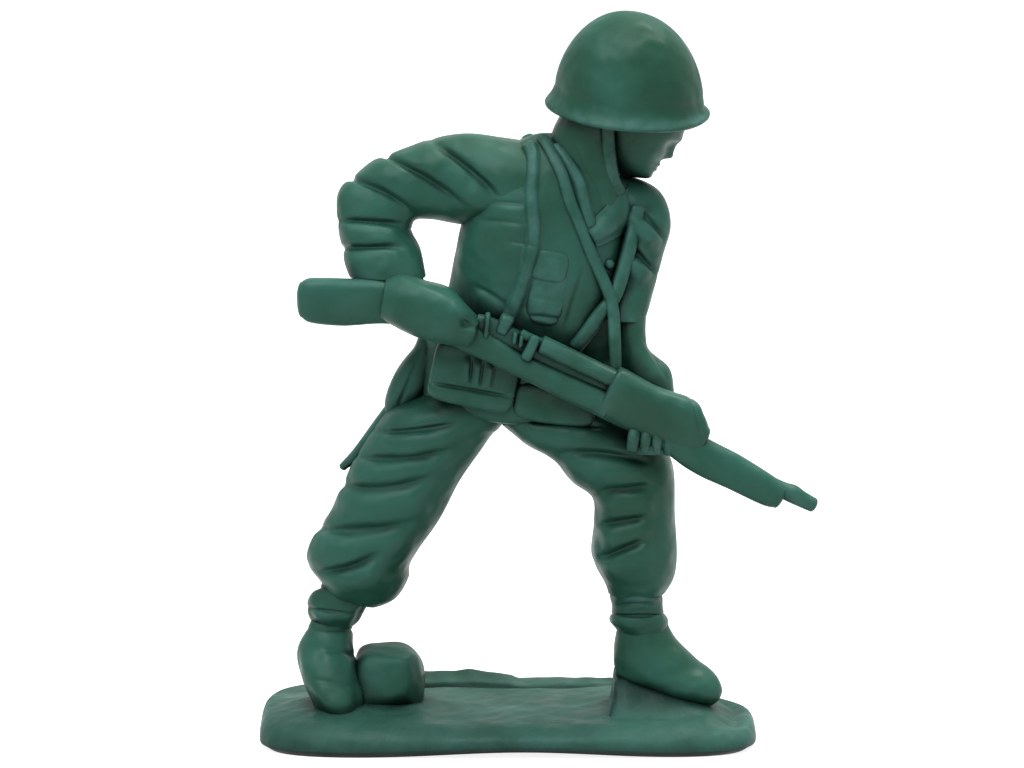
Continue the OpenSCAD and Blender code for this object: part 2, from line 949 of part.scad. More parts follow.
module rifle_fore_end() {
    on_ground() difference() {
        fore_end_form();
        handguard_form();
        barrel_form(plug_gap);
    }
}

module rifle_barrel() {
    on_ground() barrel_form();
}

module rifle_receiver() {
    on_ground() difference() {
        receiver_form();
        stock_form();
        handguard_form();
    }
}

module rifle_bolt() {
    on_ground() difference() {
        bolt_form();
        receiver_form();
        handguard_form();
    }
}

module rifle_bolt_handle() {
    on_ground() difference() {
        bolt_handle_form();
        bolt_form();
        receiver_form();
        stock_form();
    }
}

module rifle_rear_sight() {
    on_ground() difference() {
        rear_sight_form();
        receiver_form();
        stock_form();
        right_hand_form();
    }
}

base();
rock();
right_boot();
left_boot();
right_gaiter();
left_gaiter();
right_trouser_leg();
left_trouser_leg();
trouser_seat();
jacket();
belt();
right_pouch();
left_pouch();
breast_pocket();
jacket_button();
right_lapel();
left_lapel();
right_brace();
cross_strap();
rifle_sling();
right_sleeve();
left_sleeve();
right_hand();
left_hand();
head();
helmet();
chin_strap();
bayonet_frog();
bayonet_scabbard();
rifle_stock();
rifle_handguard();
rifle_fore_end();
rifle_barrel();
rifle_receiver();
rifle_bolt();
rifle_bolt_handle();
rifle_rear_sight();
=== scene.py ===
"""Detailed look of a one-colour plastic toy soldier with a rifle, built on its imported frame.

Lengths are in millimetres from the middle of the ground, the top of the base, and are turned into
metres when a mesh is made. X is the way the figure walks, -Y is towards the viewer and Z is up.
"""

import math

import bpy
import numpy as np
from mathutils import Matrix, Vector


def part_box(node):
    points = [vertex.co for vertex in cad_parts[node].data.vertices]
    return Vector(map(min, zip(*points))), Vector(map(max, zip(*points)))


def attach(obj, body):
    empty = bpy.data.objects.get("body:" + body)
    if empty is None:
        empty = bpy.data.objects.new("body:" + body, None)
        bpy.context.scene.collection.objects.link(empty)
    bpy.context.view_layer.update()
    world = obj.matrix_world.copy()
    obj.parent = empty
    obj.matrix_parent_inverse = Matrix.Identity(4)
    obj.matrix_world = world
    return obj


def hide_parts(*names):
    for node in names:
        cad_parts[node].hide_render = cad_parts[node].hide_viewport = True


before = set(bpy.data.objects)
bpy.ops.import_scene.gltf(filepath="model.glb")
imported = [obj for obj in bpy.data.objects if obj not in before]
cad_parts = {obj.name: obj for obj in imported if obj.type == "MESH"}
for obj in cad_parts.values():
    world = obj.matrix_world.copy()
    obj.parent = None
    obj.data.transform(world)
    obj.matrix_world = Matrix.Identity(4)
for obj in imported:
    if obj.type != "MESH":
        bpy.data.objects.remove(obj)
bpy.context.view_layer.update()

MM = 0.001
# Height of the ground over the underside of the base, read from what stands on it
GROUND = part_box("rock")[0][2] / MM
# Half length and half width of the base, read from the frame
BASE_X = (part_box("base")[1][0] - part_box("base")[0][0]) / MM / 2
BASE_Y = (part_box("base")[1][1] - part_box("base")[0][1]) / MM / 2
# How far the viewer looks down, in degrees
LOOK_DOWN = 11
LOOK_COS = math.cos(math.radians(LOOK_DOWN))
LOOK_SIN = math.sin(math.radians(LOOK_DOWN))
# Least share of its size that the end of a surface keeps, so that no face shrinks to nothing
LEAST = 0.02
# Rings on the rounded end of a loft
CAP_RINGS = 10


# Curves and surfaces

def spline(rows, t):
    """Smooth curve through every row of a table, at the row numbers t (Catmull-Rom cubic)."""
    rows = np.asarray(rows, float)
    last = len(rows) - 1
    t = np.clip(np.asarray(t, float), 0, last)
    i = np.minimum(t.astype(int), last - 1)
    f = (t - i)[..., None]
    p0, p1 = rows[np.maximum(i - 1, 0)], rows[i]
    p2, p3 = rows[i + 1], rows[np.minimum(i + 2, last)]
    return 0.5 * (
        2 * p1 + (p2 - p0) * f + (2 * p0 - 5 * p1 + 4 * p2 - p3) * f ** 2
        + (3 * p1 - p0 - 3 * p2 + p3) * f ** 3
    )


def path(rows, count):
    """Points along the smooth curve through a table, evenly spread by row number."""
    return spline(rows, np.linspace(0, len(rows) - 1, count))


def smoothstep(low, high, x):
    """0 below low, 1 above high, and an S-shaped cubic between them."""
    s = np.clip((x - low) / (high - low), 0, 1)
    return s * s * (3 - 2 * s)


def unit(v):
    """Vectors of length one along the last axis."""
    return v / np.maximum(np.linalg.norm(v, axis=-1, keepdims=True), 1e-9)


def turn_x(degrees):
    """Matrix of a turn about X."""
    b = math.radians(degrees)
    return np.array([[1, 0, 0], [0, math.cos(b), -math.sin(b)], [0, math.sin(b), math.cos(b)]])


def turn_y(degrees):
    """Matrix of a turn about Y."""
    b = math.radians(degrees)
    return np.array([[math.cos(b), 0, math.sin(b)], [0, 1, 0], [-math.sin(b), 0, math.cos(b)]])


def superellipse(cols, power):
    """Evenly turned directions, each stretched to the curve |x|^power + |y|^power = 1."""
    a = np.linspace(0, 2 * np.pi, cols, endpoint=False)
    c, s = np.cos(a), np.sin(a)
    reach = (np.abs(c) ** power + np.abs(s) ** power) ** (-1 / power)
    return c * reach, s * reach


def loft(stations, rows, cols, power=2.0, caps=(0.0, 0.0), lean=0.0):
    """Rings along a smooth run of stations (x, y, z, heading, half width, half depth).

    Each ring is a superellipse whose width lies across the heading in the XZ plane and whose
    depth lies along Y. A cap is the bulge of an end: its rings shrink as a quarter ellipse.
    The lean moves a point along Y in proportion to its place across the ring.
    """
    s = path(stations, rows)
    turn = np.linspace(0, np.pi / 2, CAP_RINGS + 2)[1:-1]
    heading = np.radians(s[:, 3])
    run = np.stack([np.cos(heading), 0 * heading, np.sin(heading)], 1)
    parts = []
    for end, bulge, sign in ((0, caps[0], -1), (-1, caps[1], 1)):
        cap = np.repeat(s[end][None], len(turn), 0)
        cap[:, :3] += sign * bulge * np.sin(turn)[:, None] * run[end]
        cap[:, 4:] *= np.cos(turn)[:, None]
        parts.append(cap[::-1] if end == 0 else cap)
    s = np.concatenate([parts[0] if caps[0] else s[:0], s, parts[1] if caps[1] else s[:0]])
    heading = np.radians(s[:, 3])
    across = np.stack([np.sin(heading), 0 * heading, -np.cos(heading)], 1)
    c, q = superellipse(cols, power)
    return (
        s[:, None, :3] + (s[:, 4:5] * c)[..., None] * across[:, None]
        + (s[:, 5:6] * q + lean * s[:, 4:5] * c)[..., None] * np.array([0, 1, 0])
    )


def carry(centres, outward, ends, least=0.0):
    """Directions to carry a section along points: to its side, outward, and a fade at both ends.

    The side lies across the path and the outward direction. The fade rises from an end over the
    given length as a quarter ellipse and starts at the least share of that length.
    """
    run = unit(np.gradient(centres, axis=0))
    side = unit(np.cross(outward, run))
    step = np.linalg.norm(np.diff(centres, axis=0), axis=1)
    gone = np.concatenate([[0], np.cumsum(step)])
    left = np.minimum(gone, gone[-1] - gone)
    fade = np.sqrt(np.clip(1 - (1 - np.clip(left / ends, least, 1)) ** 2, 0, 1))
    return side, np.cross(run, side), fade


def sweep(centres, outward, half_width, half_height, power, cols=24, ends=0.25):
    """Superellipse section carried along points, flat against the outward directions.

    Near both ends the section draws in over the given length as a quarter ellipse.
    """
    side, out, fade = carry(centres, outward, ends, LEAST)
    shrink = fade[:, None, None]
    c, q = superellipse(cols, power)
    return (
        centres[:, None] + shrink * half_width * c[None, :, None] * side[:, None]
        + shrink * half_height * q[None, :, None] * out[:, None]
    )


def band(centres, outward, half_width, height, edge):
    """Raised band carried along points of a surface: its top is a bell of the given edge power.

    The top runs past the half width on both sides and sinks under the surface, so the band
    has soft feet; near both ends its height falls to nothing as a quarter ellipse.
    """
    cols, past, feet = 40, 1.5, 0.06
    under_cols, under_past, under_depth = 8, 1.4, 0.3
    side, out, fade = carry(centres, outward, ends=0.4)
    u = np.concatenate([
        np.linspace(past, -past, cols), np.linspace(-under_past, under_past, under_cols)
    ])
    top = np.arange(len(u)) < cols
    bell = np.where(top, np.exp(-np.abs(u) ** edge), 0)
    rise = bell * (height * fade)[:, None] - np.where(top, feet, under_depth)
    width = np.broadcast_to(half_width, len(centres))[:, None, None]
    across = width * u[None, :, None] * side[:, None]
    return centres[:, None] + across + rise[..., None] * out[:, None]


def block(centre, size, turn, rows, cols, power=5.0, edge=6.0):
    """Box with soft edges, turned about Y.

    Its rings are superellipses, and their spread and level follow another one of power edge.
    """
    w, d, h = size[0] / 2, size[1] / 2, size[2] / 2
    a = np.linspace(-np.pi / 2, np.pi / 2, rows)
    reach = (np.cos(a) ** edge + np.abs(np.sin(a)) ** edge) ** (-1 / edge)
    level = h * np.sin(a) * reach
    spread = np.maximum(np.cos(a) * reach, LEAST)
    c, q = superellipse(cols, power)
    local = np.stack([
        w * spread[:, None] * c, d * spread[:, None] * q, np.repeat(level[:, None], cols, 1)
    ], -1)
    return local @ turn_y(turn).T + np.asarray(centre, float)


def normals(p):
    """Outward directions of a grid of rings, from the steps round and along it."""
    along = np.gradient(p, axis=0)
    round_it = np.roll(p, -1, 1) - np.roll(p, 1, 1)
    return unit(np.cross(round_it, along))


def seen(p):
    """Place of points in the plane the viewer sees: X, and height across the line of sight."""
    return p[..., 0], p[..., 2] * LOOK_COS + p[..., 1] * LOOK_SIN


def folds(p, creases, side=0):
    """Surface moved along its outward directions by cloth folds.

    A crease is x0, v0, x1, v1 of a line in the viewer's plane, half width, height, valley and bow.
    Across the line the rise is a bell, longer on its right, with a narrower bell taken away on its
    left (the valley). Along it the rise fades in and out, and the line bows to its left by the
    last number. A height below 0 makes a trough. A side of -1 keeps the folds to the front of
    the surface, 1 to its back; 0 halves them at the back.
    """
    longer, valley_at, valley_half = 1.7, 1.25, 0.34
    x, v = seen(p)
    out = normals(p)
    facing = out[..., 1]
    if side:
        kept = smoothstep(0.0, 0.3, side * facing)
    else:
        kept = 1 - 0.5 * smoothstep(-0.2, 0.6, facing)
    rise = np.zeros(x.shape)
    for x0, v0, x1, v1, half, height, valley, bow in creases:
        length = math.hypot(x1 - x0, v1 - v0)
        ex, ev = (x1 - x0) / length, (v1 - v0) / length
        s = ((x - x0) * ex + (v - v0) * ev) / length
        q = ((v - v0) * ex - (x - x0) * ev - bow * 4 * s * (1 - s)) / half
        fade = smoothstep(-0.15, 0.25, s) * (1 - smoothstep(0.75, 1.15, s))
        ridge = np.exp(-np.where(q < 0, q / longer, q) ** 2)
        hollow = np.exp(-((q - valley_at) / valley_half) ** 2)
        rise += fade * height * (ridge - valley * hollow)
    return p + (kept * rise)[..., None] * out


def cut(p, planes, k):
    """Surface cut by planes: what lies past a plane (direction, a point on it) is pressed onto it.

    The press is the soft ramp k log(1 + e^(d / k)) of the distance d, so the edges are rounded.
    """
    for direction, point in planes:
        n = unit(np.array(direction, float))
        p = p - k * np.logaddexp(0, ((p - np.array(point)) @ n) / k)[..., None] * n
    return p


def dents(p, marks):
    """Front of a surface pressed in by bells: x, v in the viewer's plane, radius and depth."""
    x, v = seen(p)
    out = normals(p)
    rise = sum(-h * np.exp(-((x - a) ** 2 + (v - b) ** 2) / r ** 2) for a, b, r, h in marks)
    rise = rise * smoothstep(0.2, -0.3, out[..., 1])
    return p + rise[..., None] * out


def waver(p, size, depth, phase=0.0):
    """Slight unevenness of a moulding: three slow waves of about the given length, put outward."""
    w = 2 * np.pi / size
    x, y, z = p[..., 0] * w, p[..., 1] * w, p[..., 2] * w
    rise = (
        np.sin(x + 0.7 * z + phase) + np.sin(0.8 * z - 1.1 * y + 2 * phase)
        + np.sin(1.3 * y + 0.6 * x - phase)
    )
    return p + (depth / 3 * rise)[..., None] * normals(p)


# Plastic

# Kinds of node, and the colour sockets of a mix
NOISE, RANGE, MIX = "ShaderNodeTexNoise", "ShaderNodeMapRange", "ShaderNodeMix"
HOLLOWS, BUMP, MATH = "ShaderNodeAmbientOcclusion", "ShaderNodeBump", "ShaderNodeMath"
COLOUR_A, COLOUR_B, COLOUR_OUT = 6, 7, 2
# Repeats of the patterns in a millimetre: colour clouds, patches of the paler crests, sheen, skin
# marks, lumps
CLOUDS, SPOTS, SHEEN, SKIN, LUMPS = 0.16, 0.7, 0.4, 2.2, 0.55
# Millimetres that hollows (painted shade) and crests are felt for, that lumps stand up and that
# light goes in
HOLLOW_REACH, CREST_REACH, LUMP_DEPTH, LIGHT_DEPTH = 2.0, 1.2, 0.45, 0.4
# Millimetres over the ground between which earth that stands up is painted darker, as shade
DARK_FROM, DARK_TO = 0.2, 1.4


def linear(hex_colour):
    """Linear colour of an sRGB hex code."""
    s = np.array([int(hex_colour[i:i + 2], 16) for i in (1, 3, 5)]) / 255
    return tuple(np.where(s <= 0.04045, s / 12.92, ((s + 0.055) / 1.055) ** 2.4)) + (1.0,)


def add(tree, kind, links=(), **values):
    """Adds a node, sets its sockets or its own settings by name, and links inputs to outputs."""
    node = tree.nodes.new(kind)
    for name, value in values.items():
        socket = name.replace("_", " ")
        if socket in node.inputs:
            node.inputs[socket].default_value = value
        else:
            setattr(node, name, value)
    for name, output in links:
        tree.links.new(node.inputs[name], output)
    return node


def plastic(name, dark, light, worn_highlight, rough, grain, streak=1.0, raised=1.0):
    """Moulded polyethylene: two close greens in slow clouds, uneven sheen and a fine skin texture.

    Crests take a paler colour in patches, partly scuffing from handling and partly a painted
    highlight, and hollows are painted darker as shade. A streak under 1 draws the clouds and the
    skin texture out along Z, as upright brush marks. A raised share under 1 is the share of the
    colour left on earth that stands over the level ground, which is painted darker as shade.
    """
    material = bpy.data.materials.new(name)
    material.use_nodes = True
    tree = material.node_tree
    shader = tree.nodes["Principled BSDF"]
    place = add(tree, "ShaderNodeTexCoord").outputs["Object"]
    stretch = add(tree, "ShaderNodeVectorMath", [(0, place)], operation="MULTIPLY")
    stretch.inputs[1].default_value = (1, 1, streak)
    marks = stretch.outputs[0]

    clouds = add(tree, NOISE, [("Vector", marks)], Scale=CLOUDS / MM, Detail=5.0)
    spread = add(tree, RANGE, [("Value", clouds.outputs["Fac"])], From_Min=0.38, From_Max=0.62)
    mix = add(tree, MIX, [("Factor", spread.outputs["Result"])], data_type="RGBA")
    mix.inputs[COLOUR_A].default_value = linear(dark)
    mix.inputs[COLOUR_B].default_value = linear(light)

    # Painted shade: hollows and creases go darker where ambient occlusion finds little open space
    hollow = add(tree, HOLLOWS, Distance=HOLLOW_REACH * MM, samples=8)
    shade = add(
        tree, RANGE, [("Value", hollow.outputs["AO"])],
        From_Min=0.3, From_Max=0.95, To_Min=0.06, To_Max=1.0,
    ).outputs["Result"]
    # Painted shade: earth that stands over the level ground, the bank and the heap under the front
    # boot, goes darker
    if raised < 1:
        height = add(tree, "ShaderNodeSeparateXYZ", [("Vector", place)])
        kept = add(
            tree, RANGE, [("Value", height.outputs["Z"])], To_Min=1.0, To_Max=raised,
            From_Min=(GROUND + DARK_FROM) * MM, From_Max=(GROUND + DARK_TO) * MM,
        )
        links = [(0, shade), (1, kept.outputs["Result"])]
        shade = add(tree, MATH, links, operation="MULTIPLY").outputs[0]

    # Paler crests, found from inside by ambient occlusion, in patches: partly scuffing, partly a
    # painted highlight
    crest = add(tree, HOLLOWS, Distance=CREST_REACH * MM, samples=8, inside=True, only_local=True)
    rubbed_and_highlit = add(
        tree, RANGE, [("Value", crest.outputs["AO"])],
        From_Min=0.45, From_Max=0.95, To_Min=0.42, To_Max=0.0,
    )
    spots = add(tree, NOISE, [("Vector", place)], Scale=SPOTS / MM, Detail=4.0)
    patch = add(tree, RANGE, [("Value", spots.outputs["Fac"])], From_Min=0.35, From_Max=0.65)
    links = [(0, rubbed_and_highlit.outputs["Result"]), (1, patch.outputs["Result"])]
    amount = add(tree, MATH, links, operation="MULTIPLY")
    links = [("Factor", amount.outputs[0]), (COLOUR_A, mix.outputs[COLOUR_OUT])]
    wear_and_highlight = add(tree, MIX, links, data_type="RGBA")
    wear_and_highlight.inputs[COLOUR_B].default_value = linear(worn_highlight)
    links = [(COLOUR_A, wear_and_highlight.outputs[COLOUR_OUT]), (COLOUR_B, shade)]
    dull = add(tree, MIX, links, data_type="RGBA", blend_type="MULTIPLY")
    dull.inputs[0].default_value = 1.0
    tree.links.new(shader.inputs["Base Color"], dull.outputs[COLOUR_OUT])

    sheen = add(tree, NOISE, [("Vector", place)], Scale=SHEEN / MM, Detail=4.0)
    gloss = add(
        tree, RANGE, [("Value", sheen.outputs["Fac"])],
        From_Min=0.35, From_Max=0.65, To_Min=rough - 0.07, To_Max=rough + 0.1,
    )
    tree.links.new(shader.inputs["Roughness"], gloss.outputs["Result"])

    skin = add(tree, NOISE, [("Vector", marks)], Scale=SKIN / MM, Detail=3.0)
    uneven = add(tree, NOISE, [("Vector", place)], Scale=LUMPS / MM, Detail=1.0)
    links = [("Height", uneven.outputs["Fac"])]
    lumps = add(tree, BUMP, links, Strength=0.6, Distance=LUMP_DEPTH * MM)
    links = [("Height", skin.outputs["Fac"]), ("Normal", lumps.outputs["Normal"])]
    bump = add(tree, BUMP, links, Strength=0.25, Distance=grain * MM)
    tree.links.new(shader.inputs["Normal"], bump.outputs["Normal"])

    shader.inputs["IOR"].default_value = 1.5
    shader.inputs["Specular IOR Level"].default_value = 0.2
    shader.inputs["Subsurface Weight"].default_value = 0.12
    shader.inputs["Subsurface Radius"].default_value = (0.3, 0.8, 0.6)
    shader.inputs["Subsurface Scale"].default_value = LIGHT_DEPTH * MM
    return material


# Soft polyethylene looks waxy: one even green with broad, dull highlights and a little light let
# into it. The figure is smooth, and the base is duller, with upright brush marks. The skin and
# brush marks are drawn coarser than the real ones, which would be too fine to show. Both have
# painted shade in their hollows and a paler colour on crests, partly scuffing and partly a
# painted highlight, and the base's raised earth is painted darker as shade.
FIGURE = plastic(
    "green_polyethylene_figure", dark="#204B3A", light="#2E5F51", worn_highlight="#517E79",
    rough=0.44, grain=0.02,
)
EARTH = plastic(
    "green_polyethylene_base", dark="#2A5044", light="#386357", worn_highlight="#527F7A",
    rough=0.52, grain=0.25, streak=0.1, raised=0.4,
)


def piece(name, p, nodes, material=FIGURE):
    """Closed mesh over a grid of rings, standing for the named CAD nodes.

    Four-sided faces join the rings, and a fan of triangles round the mean of the first and of the
    last ring closes each end.
    """
    rows, cols = p.shape[:2]
    poles = np.stack([p[0].mean(0), p[-1].mean(0)])
    points = (np.concatenate([p.reshape(-1, 3), poles]) + [0, 0, GROUND]) * MM
    grid = np.arange(rows * cols).reshape(rows, cols)
    after = np.roll(grid, -1, 1)
    quads = np.stack([grid[:-1], after[:-1], after[1:], grid[1:]], -1).reshape(-1, 4)
    first = np.stack([np.full(cols, rows * cols), after[0], grid[0]], 1)
    last = np.stack([np.full(cols, rows * cols + 1), grid[-1], after[-1]], 1)
    mesh = bpy.data.meshes.new(name)
    mesh.from_pydata(points.tolist(), [], quads.tolist() + first.tolist() + last.tolist())
    mesh.polygons.foreach_set("use_smooth", np.ones(len(mesh.polygons), bool))
    mesh.materials.append(material)
    mesh.update()
    obj = bpy.data.objects.new(name, mesh)
    bpy.context.scene.collection.objects.link(obj)
    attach(obj, "root")
    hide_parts(*nodes)


# Clothing

JACKET = [
    (-0.1, 0, 21.9, 80, 6.25, 3.1),
    (0.7, 0, 25.4, 80, 6.85, 3.55),
    (2.05, 0, 28.9, 80, 6.75, 3.9),
    (2.5, -0.1, 32, 79, 6.5, 4.1),
    (2.65, -0.1, 34.6, 79, 6.15, 4.2),
    (3.2, -0.1, 37.6, 78, 5.6, 3.9),
    (4.3, 0, 39.65, 74, 4.7, 3.4),
    (4.8, 0, 40.65, 68, 3.4, 2.7),
    (5.0, 0, 41.15, 64, 2.2, 2.0),
]
JACKET_POWER = 2.4
jacket = loft(JACKET, 300, 260, JACKET_POWER)
jacket = folds(jacket, [
    (-1.4, 35.9, 1.2, 35.7, 0.4, 0.16, 0.8, 0.0),
    (-2.0, 34.4, 1.2, 34.1, 0.5, 0.12, 0.8, 0.1),
    (0.9, 28.3, 3.2, 27.9, 0.5, 0.2, 0.5, 0.1),
    (-2.6, 29.8, -0.2, 28.2, 0.5, 0.15, 0.8, 0.1),
    (4.9, 31.6, 3.5, 27.0, 0.35, 0.15, 0.6, 0.0),
    (-3.6, 27.6, -0.6, 27.2, 0.5, 0.12, 0.8, 0.1),
    (-0.2, 33.1, 2.0, 32.7, 0.4, 0.09, 0.8, 0.0),
    # Overlap of the jacket's two fronts, as a groove between the pouches
    (0.6, 24.9, 0.0, 19.9, 0.28, -0.4, 0.0, 0.0),
], side=-1)
# The back can't be seen in the photograph: slack cloth drawn down from the shoulders to the belt
jacket = folds(jacket, [
    (-1.5, 37.4, 5.0, 36.2, 0.9, 0.2, 0.8, -0.3),
    (-2.8, 34.0, 4.5, 32.4, 1.0, 0.22, 0.8, -0.4),
    (-4.0, 30.4, 2.0, 28.4, 0.9, 0.22, 0.8, -0.3),
    (7.4, 30.2, 2.6, 28.0, 0.8, 0.2, 0.8, 0.3),
    (8.2, 34.6, 4.2, 33.2, 0.8, 0.18, 0.8, 0.2),
], side=1)
jacket = waver(jacket, 6.0, 0.05)
piece("jacket_cloth", jacket, ["jacket"])
jacket_out = normals(jacket)


def on_jacket(station, share, side=-1):
    """Points and outward directions on the jacket, blended from the four nearest of its grid.

    A place is a station number, a share of the half width and a side: front (-1) or back (1).
    """
    rows, cols = jacket.shape[:2]
    r = np.asarray(station) / (len(JACKET) - 1) * (rows - 1)
    share = np.clip(share, -1, 1)
    deep = side * (1 - np.abs(share) ** JACKET_POWER) ** (1 / JACKET_POWER)
    c = np.arctan2(deep, share) % (2 * np.pi) / (2 * np.pi) * cols
    r0 = np.clip(r.astype(int), 0, rows - 2)
    c0 = c.astype(int)
    fr, fc = (r - r0)[:, None], (c - c0)[:, None]
    found = []
    for g in (jacket, jacket_out):
        low = g[r0, c0 % cols] * (1 - fc) + g[r0, (c0 + 1) % cols] * fc
        high = g[r0 + 1, c0 % cols] * (1 - fc) + g[r0 + 1, (c0 + 1) % cols] * fc
        found.append(low * (1 - fr) + high * fr)
    return found[0], unit(found[1])


# Points along a strap on the jacket
STRAP_POINTS = 140


def strap(route, half_width, height, lift=0.0, edge=4.0, side=-1):
    """Strap along a route on the jacket: a raised band over points of it, moved out by lift."""
    r = path(route, STRAP_POINTS)
    centres, outward = on_jacket(r[:, 0], r[:, 1], side)
    return band(centres + lift * outward, outward, half_width, height, edge)


piece("trouser_seat_cloth", loft([
    (-0.4, 0, 21.35, 86, 1.6, 2.4),
    (-0.3, 0, 21.6, 84, 4.0, 3.1),
    (0, 0, 22.4, 82, 5.5, 3.35),
    (0.4, 0, 24, 82, 5.7, 3.4),
], 60, 120, power=2.4), ["trouser_seat"])

right_leg = loft([
    (-1.7, 0, 23.6, 240, 2.6, 2.3),
    (-3.4, 0, 21.95, 246, 3.1, 3.1),
    (-5.05, 0, 20.9, 256, 3.85, 3.3),
    (-7.45, 0, 17.3, 260, 3.95, 3.1),
    (-8.95, 0, 14.2, 263, 3.85, 3.0),
    (-10.85, 0, 11.3, 263, 3.75, 3.0),
    (-10.95, 0, 9.9, 262, 3.65, 2.8),
    (-11.0, 0, 8.7, 256, 2.9, 2.3),
    (-11.4, 0, 8.0, 250, 1.9, 1.6),
], 280, 200, power=2.3)
right_leg = folds(right_leg, [
    (-9.6, 19.1, -3.6, 19.7, 0.7, 0.36, 0.9, -0.25),
    (-10.8, 17.1, -4.5, 17.5, 0.8, 0.44, 0.9, -0.3),
    (-12.2, 14.7, -5.7, 15.3, 1.1, 0.56, 0.8, -0.5),
    (-13.9, 11.5, -7.2, 12.0, 1.1, 0.56, 0.8, -0.3),
    (-13.1, 8.7, -9.2, 10.0, 0.9, 0.56, 0.9, -0.25),
])
piece("right_trouser_leg_cloth", waver(right_leg, 5.0, 0.06), ["right_trouser_leg"])

left_leg = loft([
    (0.9, -0.1, 22.85, 325, 2.4, 2.9),
    (3.1, -0.3, 21.8, 310, 2.96, 3.1),
    (5.55, -0.7, 20.35, 299, 3.2, 3.1),
    (7.75, -1, 18.65, 300, 3.3, 3.1),
    (9.0, -1, 16.9, 293, 3.1, 3.0),
    (9.15, -1, 14.1, 279, 3.0, 2.9),
    (9.14, -1, 11.2, 268, 3.07, 2.9),
    (9.5, -1, 9.6, 270, 2.5, 2.4),
    (9.35, -1, 8.6, 270, 2.1, 1.9),
], 280, 200, power=2.4)
left_leg = folds(left_leg, [
    (1.0, 19.85, 6.6, 19.4, 0.7, 0.36, 1.1, 0.1),
    (4.0, 17.3, 9.6, 16.7, 0.9, 0.46, 0.9, 0.2),
    (6.8, 14.55, 10.4, 14.9, 0.9, 0.44, 0.9, 0.0),
    (6.9, 12.2, 10.1, 12.8, 0.8, 0.42, 1.0, 0.0),
    (6.9, 9.6, 10.3, 11.1, 0.9, 0.46, 1.0, 0.0),
])
piece("left_trouser_leg_cloth", waver(left_leg, 5.0, 0.06, 1.0), ["left_trouser_leg"])

right_sleeve = loft([
    (1.9, 0, 38.5, 168, 2.8, 3.7),
    (-0.6, 0, 38.8, 171, 2.95, 3.45),
    (-3.1, 0, 38.85, 175, 3.25, 2.9),
    (-5.6, -0.2, 38.85, 181, 2.8, 2.6),
    (-7.55, -0.3, 38.28, 200, 2.55, 2.5),
    (-9.3, -0.5, 36.93, 236, 2.84, 2.5),
    (-9.6, -0.9, 35.8, 252, 2.9, 2.5),
    (-9.12, -1.6, 34.2, 264, 2.85, 2.4),
    (-8.65, -2.6, 32.3, 269, 2.7, 2.3),
], 280, 200, power=2.5, caps=(0.0, 0.35))
right_sleeve = folds(right_sleeve, [
    (-6.2, 40.1, -1.5, 35.9, 0.8, 0.42, 0.9, 0.2),
    (-10.7, 39.6, -4.2, 35.8, 0.75, 0.24, 1.4, 0.2),
    (-13.0, 37.7, -7.7, 35.3, 0.7, 0.2, 1.6, 0.3),
    (-12.2, 34.2, -7.9, 33.9, 0.7, 0.32, 1.1, 0.05),
    (-12.0, 32.2, -7.7, 32.3, 0.7, 0.3, 1.1, 0.0),
    # Broad troughs between the long folds of the upper arm
    (-5.0, 39.9, -1.0, 36.3, 0.6, -0.24, 0.0, 0.1),
    (-7.8, 38.8, -3.2, 35.9, 0.55, -0.28, 0.0, 0.1),
    (-10.6, 37.8, -6.7, 35.3, 0.5, -0.22, 0.0, 0.1),
])
piece("right_sleeve_cloth", waver(right_sleeve, 5.0, 0.06, 2.0), ["right_sleeve"])

left_sleeve = loft([
    (7.7, 0, 38.1, 330, 1.2, 1.9),
    (9.2, 0, 37.1, 296, 1.9, 2.3),
    (9.7, -0.1, 35.4, 275, 2.05, 2.4),
    (9.2, -0.4, 33.4, 263, 1.9, 2.3),
    (8.5, -1.3, 30.3, 264, 1.75, 2.1),
    (8.2, -1.9, 29.1, 266, 1.65, 1.9),
], 220, 150, caps=(0.6, 0.25))
left_sleeve = folds(left_sleeve, [
    (8.3, 35.5, 10.6, 33.2, 0.65, 0.44, 0.9, 0.15),
    (7.8, 32.7, 10.0, 30.7, 0.65, 0.44, 0.9, 0.15),
    (8.6, 34.0, 10.3, 32.5, 0.5, -0.2, 0.0, 0.1),
])
left_sleeve = dents(left_sleeve, [(10.2, 36.0, 0.7, 0.5), (8.6, 30.3, 0.9, 0.35)])
piece("left_sleeve_cloth", waver(left_sleeve, 5.0, 0.05, 3.0), ["left_sleeve"])

# Routes on the jacket, as station numbers and shares of the half width
BRACE = [
    (1.5, -0.33), (2, -0.31), (3, -0.22), (4.1, -0.15),
    (5, -0.28), (6.1, -0.6), (6.5, -0.78), (6.65, -0.92),
]
piece("right_brace_strap", strap(BRACE, 0.5, 0.42), ["right_brace"])
BRACE_BEHIND = [(6.65, -0.92), (6.3, -0.7), (5.2, -0.4), (4, -0.15), (2.6, 0.1), (1.3, 0.2)]
piece("right_brace_back_strap", strap(BRACE_BEHIND, 0.5, 0.4, side=1), ["right_brace"])

SLING = [(7.4, -0.96), (7.0, -0.6), (6.2, -0.2), (5.3, 0.15), (4.5, 0.42), (3.75, 0.6)]
# Points of the sling from the chest to the handguard
SLING_FREE = [(7.35, -4.0, 30.6), (7.6, -4.7, 27.8), (7.65, -5.1, 25.3)]


def sling():
    """Rifle sling: over the chest, then free to the rear of the handguard, as one sweep."""
    chest_points, free_points = 120, 90
    r = path(SLING, chest_points)
    chest, out = on_jacket(r[:, 0], r[:, 1])
    # The free part leaves the chest in the direction of the last few points there
    free = [chest[-6], chest[-1], *SLING_FREE]
    free = spline(free, np.linspace(1, len(free) - 1, free_points))[1:]
    turn = np.linspace(0, 1, len(free))[:, None]
    out = np.concatenate([out, unit(out[-1] * (1 - turn) + np.array([0.25, -1, 0]) * turn)])
    return sweep(np.concatenate([chest, free]), out, 0.45, 0.32, 2.4)


piece("rifle_sling_strap", sling(), ["rifle_sling"])

